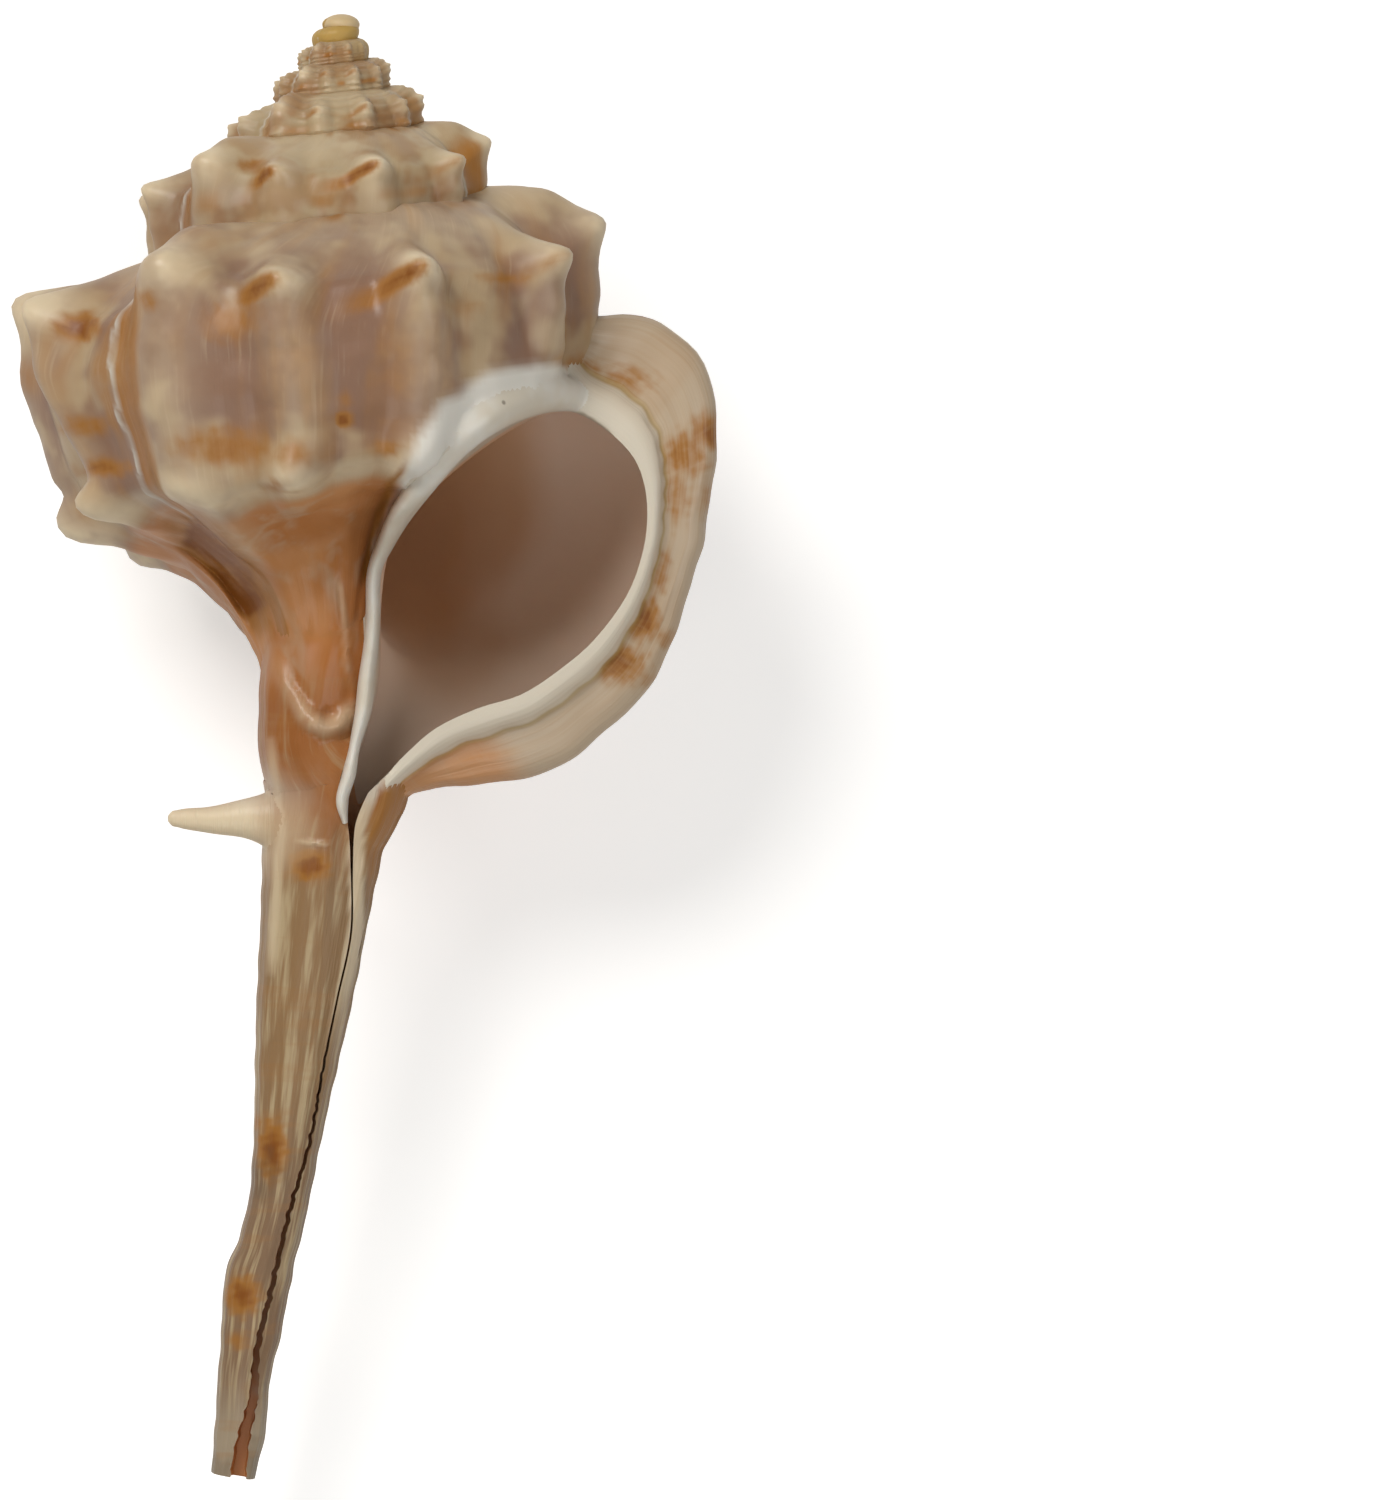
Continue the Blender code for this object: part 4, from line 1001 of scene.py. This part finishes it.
def canalMaterial():
    # place: X round the canal, Y its depth below the apex in centimetres
    material, tree, shader, place, position = newMaterial("canalOutside")
    _, depth, _ = split(tree, place)
    pins = useGroup(tree, specks, Position=position)
    streaks = stretchedNoise(tree, place, (26, 1.6, 1), 3.0, 0.6)
    fineStreaks = stretchedNoise(tree, place, (90, 5, 1), 2.0, 0.6)
    rings = stretchedNoise(tree, place, (2.5, 16, 1), 2.0, 0.5, 4.4)
    upper = mixColour(tree, smoothMask(tree, depth, 2.75, 3.1, 0.0, 0.72), baseTone(tree, position),
                      "rootBrown")
    below = smoothMask(tree, depth, 2.7, 3.3)
    streak = times(tree, smoothMask(tree, streaks, 0.50, 0.66, 0.0, 0.45), below)
    upper = mixColour(tree, streak, upper, "canalStreak")
    lower = mixColour(tree, smoothMask(tree, depth, 4.6, 5.3), "canalPale", "canalLow")
    lower = mixColour(tree, smoothMask(tree, streaks, 0.45, 0.65), lower, "canalStreak")
    colour = mixColour(tree, smoothMask(tree, depth, 3.45, 3.9), upper, lower)
    colour = mixColour(tree, smoothMask(tree, depth, 5.9, 6.3), colour, "canalTip")
    marks, raised = mapParts(tree, "tints")
    faint = times(tree, smoothMask(tree, rings, 0.55, 0.70), 0.25)
    colour = mixColour(tree, faint, colour, "tan")
    colour = brownTone(tree, marks, colour)
    colour = mixColour(tree, times(tree, raised, 0.45), colour, "tip")
    pale, _ = mapParts(tree, "cover")
    paleTone = mixColour(tree, smoothMask(tree, depth, 3.38, 3.55), "enamelGrey", "tip")
    colour = mixColour(tree, pale, colour, paleTone)
    grime = times(tree, smoothMask(tree, pins["Film"], 0.55, 0.68), 0.35)
    grime = times(tree, grime, smoothMask(tree, depth, 4.3, 5.0))
    colour = mixColour(tree, grime, colour, "dirt")
    height = times(tree, mathNode(tree, "ADD", fineStreaks, streaks), below)
    finishMaterial(tree, shader, colour, height, None, 1.3)
    return material


def enamelMaterial():
    material, tree, shader, _, position = newMaterial("enamel")
    pins = useGroup(tree, specks, Position=position)
    film = smoothMask(tree, pins["Film"], 0.35, 0.6)
    colour = mixColour(tree, film, "enamelGrey", "enamel")
    colour = speckled(tree, colour, pins, 0.6)
    finishMaterial(tree, shader, colour, pins["Film"], None, 0.8)
    return material


def lumenMaterial():
    # place: X is turns in from the lip
    material, tree, shader, place, position = newMaterial("hollowInside")
    depth, _, _ = split(tree, place)
    clouds = stretchedNoise(tree, position, (150, 90, 150), 2.0, 0.5)
    across, along, _ = split(tree, position)
    # painted light and shade: the hollow lighter to the right and darker to the left, mixed with cloudy
    # tone
    sideways = smoothMask(tree, across, 0.003, 0.011, -0.12, 0.16)
    soft = mathNode(tree, "SUBTRACT", clouds, sideways)
    colour = mixColour(tree, smoothMask(tree, soft, 0.25, 0.72), "hollow", "hollowToneAndShade")
    # painted shade: the hollow darker towards the bottom
    colour = mixColour(tree, smoothMask(tree, along, 0.008, 0.0), colour, "hollowLowShade")
    colour = mixColour(tree, smoothMask(tree, depth, 0.0, -0.035), colour, "enamelGrey")
    finishMaterial(tree, shader, colour, clouds, None, 0.5)
    return material


# where joins melt into each other: X, Y, Z and reach, in millimetres
melted = {
    "zones": [(-2.7, -35.4, 1.2, 2.6), (-2.2, -26.8, 1.9, 3.0), (3.0, -34.2, 1.6, 1.6),
              (11.3, -16.9, 2.6, 1.6)],
    "enamelReach": 0.9,
    "passes": 14,
}
# how far the lower left of the last whorl is drawn in, and between which X, Y and Z, in millimetres
tucked = {
    "inward": 0.82, "inX": (-12.5, -5.5), "inY": (-20.0, -15.5),
    "front": 0.5, "frontZ": (0.0, 4.0),      # this share more towards the front
    "upward": 0.95, "upX": (-7.0, -4.2), "upY": (-23.5, -19.5),
    "canalY": (-31.0, -28.5),                # the canal is left as it is
}


def shellPlaces(mesh, lay):
    # points as they lie, and in millimetres on the shell's own axes
    points = np.zeros(3 * len(mesh.vertices))
    mesh.vertices.foreach_get("co", points)
    points = points.reshape(-1, 3)
    back = np.array(lay.inverted())
    return points, (points @ back[:3, :3].T + back[:3, 3]) / mm


def tuckCorner(mesh, lay):
    # slides points to the right and up, smoothly from nothing to the full shift at the corner
    points, seen = shellPlaces(mesh, lay)
    x, y, z = seen.T
    inward = tucked["inward"] * (1 - ease(*tucked["inY"], y)) * (1 - ease(*tucked["inX"], x))
    inward *= 1 + tucked["front"] * ease(*tucked["frontZ"], z)
    upward = tucked["upward"] * (1 - ease(*tucked["upY"], y)) * (1 - ease(*tucked["upX"], x))
    share = ease(*tucked["canalY"], y)[:, None]
    shift = np.stack([inward, upward, np.zeros(len(x))], 1) * (mm * share)
    points += shift @ np.array(lay)[:3, :3].T
    mesh.vertices.foreach_set("co", points.ravel())
    mesh.update()


def softenJoins(mesh, lay):
    # each pass moves a point halfway to the mean of its neighbours, fully only inside the zones
    # and along the edge of the enamel
    points, seen = shellPlaces(mesh, lay)
    edges = np.zeros(2 * len(mesh.edges), int)
    mesh.edges.foreach_get("vertices", edges)
    first, second = edges.reshape(-1, 2).T
    away, place = lineDistance(seen[:, :2], enamel["line"])
    half = smoothRead(place, np.arange(len(enamel["half"])), enamel["half"])
    share = (1 - ease(0.0, melted["enamelReach"], away - half)) * ease(0.5, 1.5, seen[:, 2])
    share = share * (1 - ease(6.0, 8.0, place))
    for *centre, reach in melted["zones"]:
        share = np.maximum(share, 1 - ease(0.4, 1.0, np.linalg.norm(seen - centre, axis=1) / reach))
    number = np.bincount(edges, minlength=len(points))[:, None]
    for _ in range(melted["passes"]):
        total = [np.bincount(first, points[second, k], len(points))
                 + np.bincount(second, points[first, k], len(points)) for k in range(3)]
        points += 0.5 * share[:, None] * (np.stack(total, 1) / number - points)
    mesh.vertices.foreach_set("co", points.ravel())
    mesh.update()


outside, lipLook, canalLook = whorlMaterial(), lipMaterial(), canalMaterial()
enamelLook, lumenLook = enamelMaterial(), lumenMaterial()
print("stage: materials made")

across = np.linspace(0, 1, coil["acrossSteps"] + 1)
first = coil["turns"][0]
sector = coil["sector"]
perSector = round(coil["stepsPerTurn"] * sector)
joined = []
for number in reversed(range(math.ceil(-first / sector))):
    end = -number * sector
    steps = perSector if end > coil["coarseBefore"] else perSector // 2
    joined.append(whorlSector(max(end - sector, first), end, steps, across, outside))
joined += [core(outside), lipFace(np.linspace(0, 1, 131), lipLook), canalTube(canalLook),
           canalSpine(canalLook), nucleus(outside)]
cutters = [lumen(lumenLook), slitCutter(canalLook)]
added = [callusEdge(enamelLook)]
print("stage: solids made")

# lay it down on its back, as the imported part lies: the direction that points down, and the shift
rest = {"down": (-0.045, -0.158, -0.986), "shift": (-1.332, 31.772, 17.223)}
restDown = Vector(rest["down"]).normalized()
lay = Matrix.Translation(Vector(rest["shift"]) * mm)
lay = lay @ restDown.rotation_difference(Vector((0, 0, -1))).to_matrix().to_4x4()
for piece in joined + cutters + added:
    piece.data.transform(lay)
# what would pass through the floor is cut off level with it
ground = bpy.data.meshes.new("ground")
wide, deepDown = 60 * mm, -20 * mm
corners = [(x, y, z) for x in (-wide, wide) for y in (-wide, wide) for z in (deepDown, 0)]
ground.from_pydata(corners, [], [(0, 1, 3, 2), (4, 6, 7, 5), (0, 4, 5, 1), (2, 3, 7, 6),
                                 (0, 2, 6, 4), (1, 5, 7, 3)])
for key in ("place", "tints", "cover"):
    ground.uv_layers.new(name=key)
ground.materials.append(outside)
groundBlock = bpy.data.objects.new("groundBlock", ground)
bpy.context.scene.collection.objects.link(groundBlock)
cutters.append(groundBlock)

shell = joined[0]
shell.name = "murexShell"
for piece in joined[1:] + cutters + added:
    cut = shell.modifiers.new("join", "BOOLEAN")
    cut.operation = "DIFFERENCE" if piece in cutters else "UNION"
    cut.solver = "MANIFOLD"
    cut.material_mode = "TRANSFER"
    cut.object = piece
whole = bpy.data.meshes.new_from_object(shell.evaluated_get(bpy.context.evaluated_depsgraph_get()))
shell.modifiers.clear()
shell.data = whole
for piece in joined[1:] + cutters + added:
    bpy.data.objects.remove(piece, do_unlink=True)
softenJoins(whole, lay)
tuckCorner(whole, lay)
whole.polygons.foreach_set("use_smooth", np.ones(len(whole.polygons), bool))
whole.set_sharp_from_angle(angle=math.radians(50))
print("stage: shell joined,", sum(len(p.vertices) - 2 for p in whole.polygons), "triangles")

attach(shell, "root")
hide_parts("murex_shell")

# floor, light and camera
stage = {
    "floor": (0.86, 0.855, 0.84),
    "reach": 1.2,
    "roughness": 0.7,
    "world": 0.10,
    "glow": 0.45,
    # lamp: place, size, power, colour; all aim at one point
    "lamps": {
        "key": ((-0.18, 0.19, 0.36), 0.24, 1.28, (1, 0.98, 0.95)),
        "fill": ((0.30, -0.05, 0.30), 0.25, 0.40, (1, 1, 1)),
        "front": ((-0.06, -0.30, 0.34), 0.30, 0.49, (1, 0.99, 0.97)),
    },
    "aim": (0, 0, 0.01),
}
floorMesh = bpy.data.meshes.new("floor")
reach = stage["reach"]
floorMesh.from_pydata([(-reach, -reach, 0), (reach, -reach, 0), (reach, reach, 0), (-reach, reach, 0)],
                      [], [(0, 1, 2, 3)])
floor = bpy.data.objects.new("floor", floorMesh)
bpy.context.scene.collection.objects.link(floor)
floorLook = bpy.data.materials.new("floor")
floorLook.use_nodes = True
floorTree = floorLook.node_tree
floorShader = floorTree.nodes["Principled BSDF"]
floorShader.inputs["Base Color"].default_value = (*stage["floor"], 1)
floorShader.inputs["Roughness"].default_value = stage["roughness"]
# the floor shines white to the camera, less near the shell, so that its shadow stays
floorRay = floorTree.nodes.new("ShaderNodeLightPath")
floorPlace = addNode(floorTree, "ShaderNodeTexCoord").outputs["Object"]
floorReach = addNode(floorTree, "ShaderNodeVectorMath", {"Vector": floorPlace}, operation="LENGTH")
farGlow = smoothMask(floorTree, floorReach.outputs["Value"], 0.10, 0.45, stage["glow"], 1.0)
floorGlow = times(floorTree, floorRay.outputs["Is Camera Ray"], farGlow)
floorTree.links.new(floorGlow, floorShader.inputs["Emission Strength"])
floorShader.inputs["Emission Color"].default_value = (1, 1, 1, 1)
floorMesh.materials.append(floorLook)

world = bpy.data.worlds.new("studio")
bpy.context.scene.world = world
world.use_nodes = True
worldTree = world.node_tree
background = worldTree.nodes["Background"]
background.inputs["Color"].default_value = (1, 1, 1, 1)
# white to the camera, dim to everything else
worldRay = worldTree.nodes.new("ShaderNodeLightPath")
strength = worldTree.nodes.new("ShaderNodeMapRange")
worldTree.links.new(worldRay.outputs["Is Camera Ray"], strength.inputs["Value"])
strength.inputs["To Min"].default_value = stage["world"]
strength.inputs["To Max"].default_value = 1.0
worldTree.links.new(strength.outputs["Result"], background.inputs["Strength"])

for name, (place, size, power, colour) in stage["lamps"].items():
    data = bpy.data.lights.new(name, "AREA")
    data.shape = "DISK"
    data.size = size
    data.energy = power
    data.color = colour
    lamp = bpy.data.objects.new(name, data)
    lamp.location = place
    lamp.rotation_euler = (Vector(stage["aim"]) - Vector(place)).to_track_quat("-Z", "Y").to_euler()
    bpy.context.scene.collection.objects.link(lamp)
print("stage: floor, world and lamps set")

# camera: what it aims at on the shell's own axes and the height that it takes in, in millimetres
shot = {"aim": (15.88, -32.34, 0), "height": 66, "lens": 300, "sensor": 36}
lens = bpy.data.cameras.new("camera")
camera = bpy.data.objects.new("camera", lens)
bpy.context.scene.collection.objects.link(camera)
bpy.context.scene.camera = camera
lens.sensor_width = shot["sensor"]
lens.lens = shot["lens"]
# it looks straight into the aperture side, with the shell to the left of the middle
turned = lay.to_3x3()
aimPoint = lay @ (Vector(shot["aim"]) * mm)
away = turned @ Vector((0, 0, 1))
distance = shot["height"] * mm * lens.lens / lens.sensor_width
lens.clip_start = 0.01
lens.clip_end = 10
camera.matrix_world = Matrix.Translation(aimPoint + away * distance) @ turned.to_4x4()

bpy.context.scene.view_settings.view_transform = "Standard"
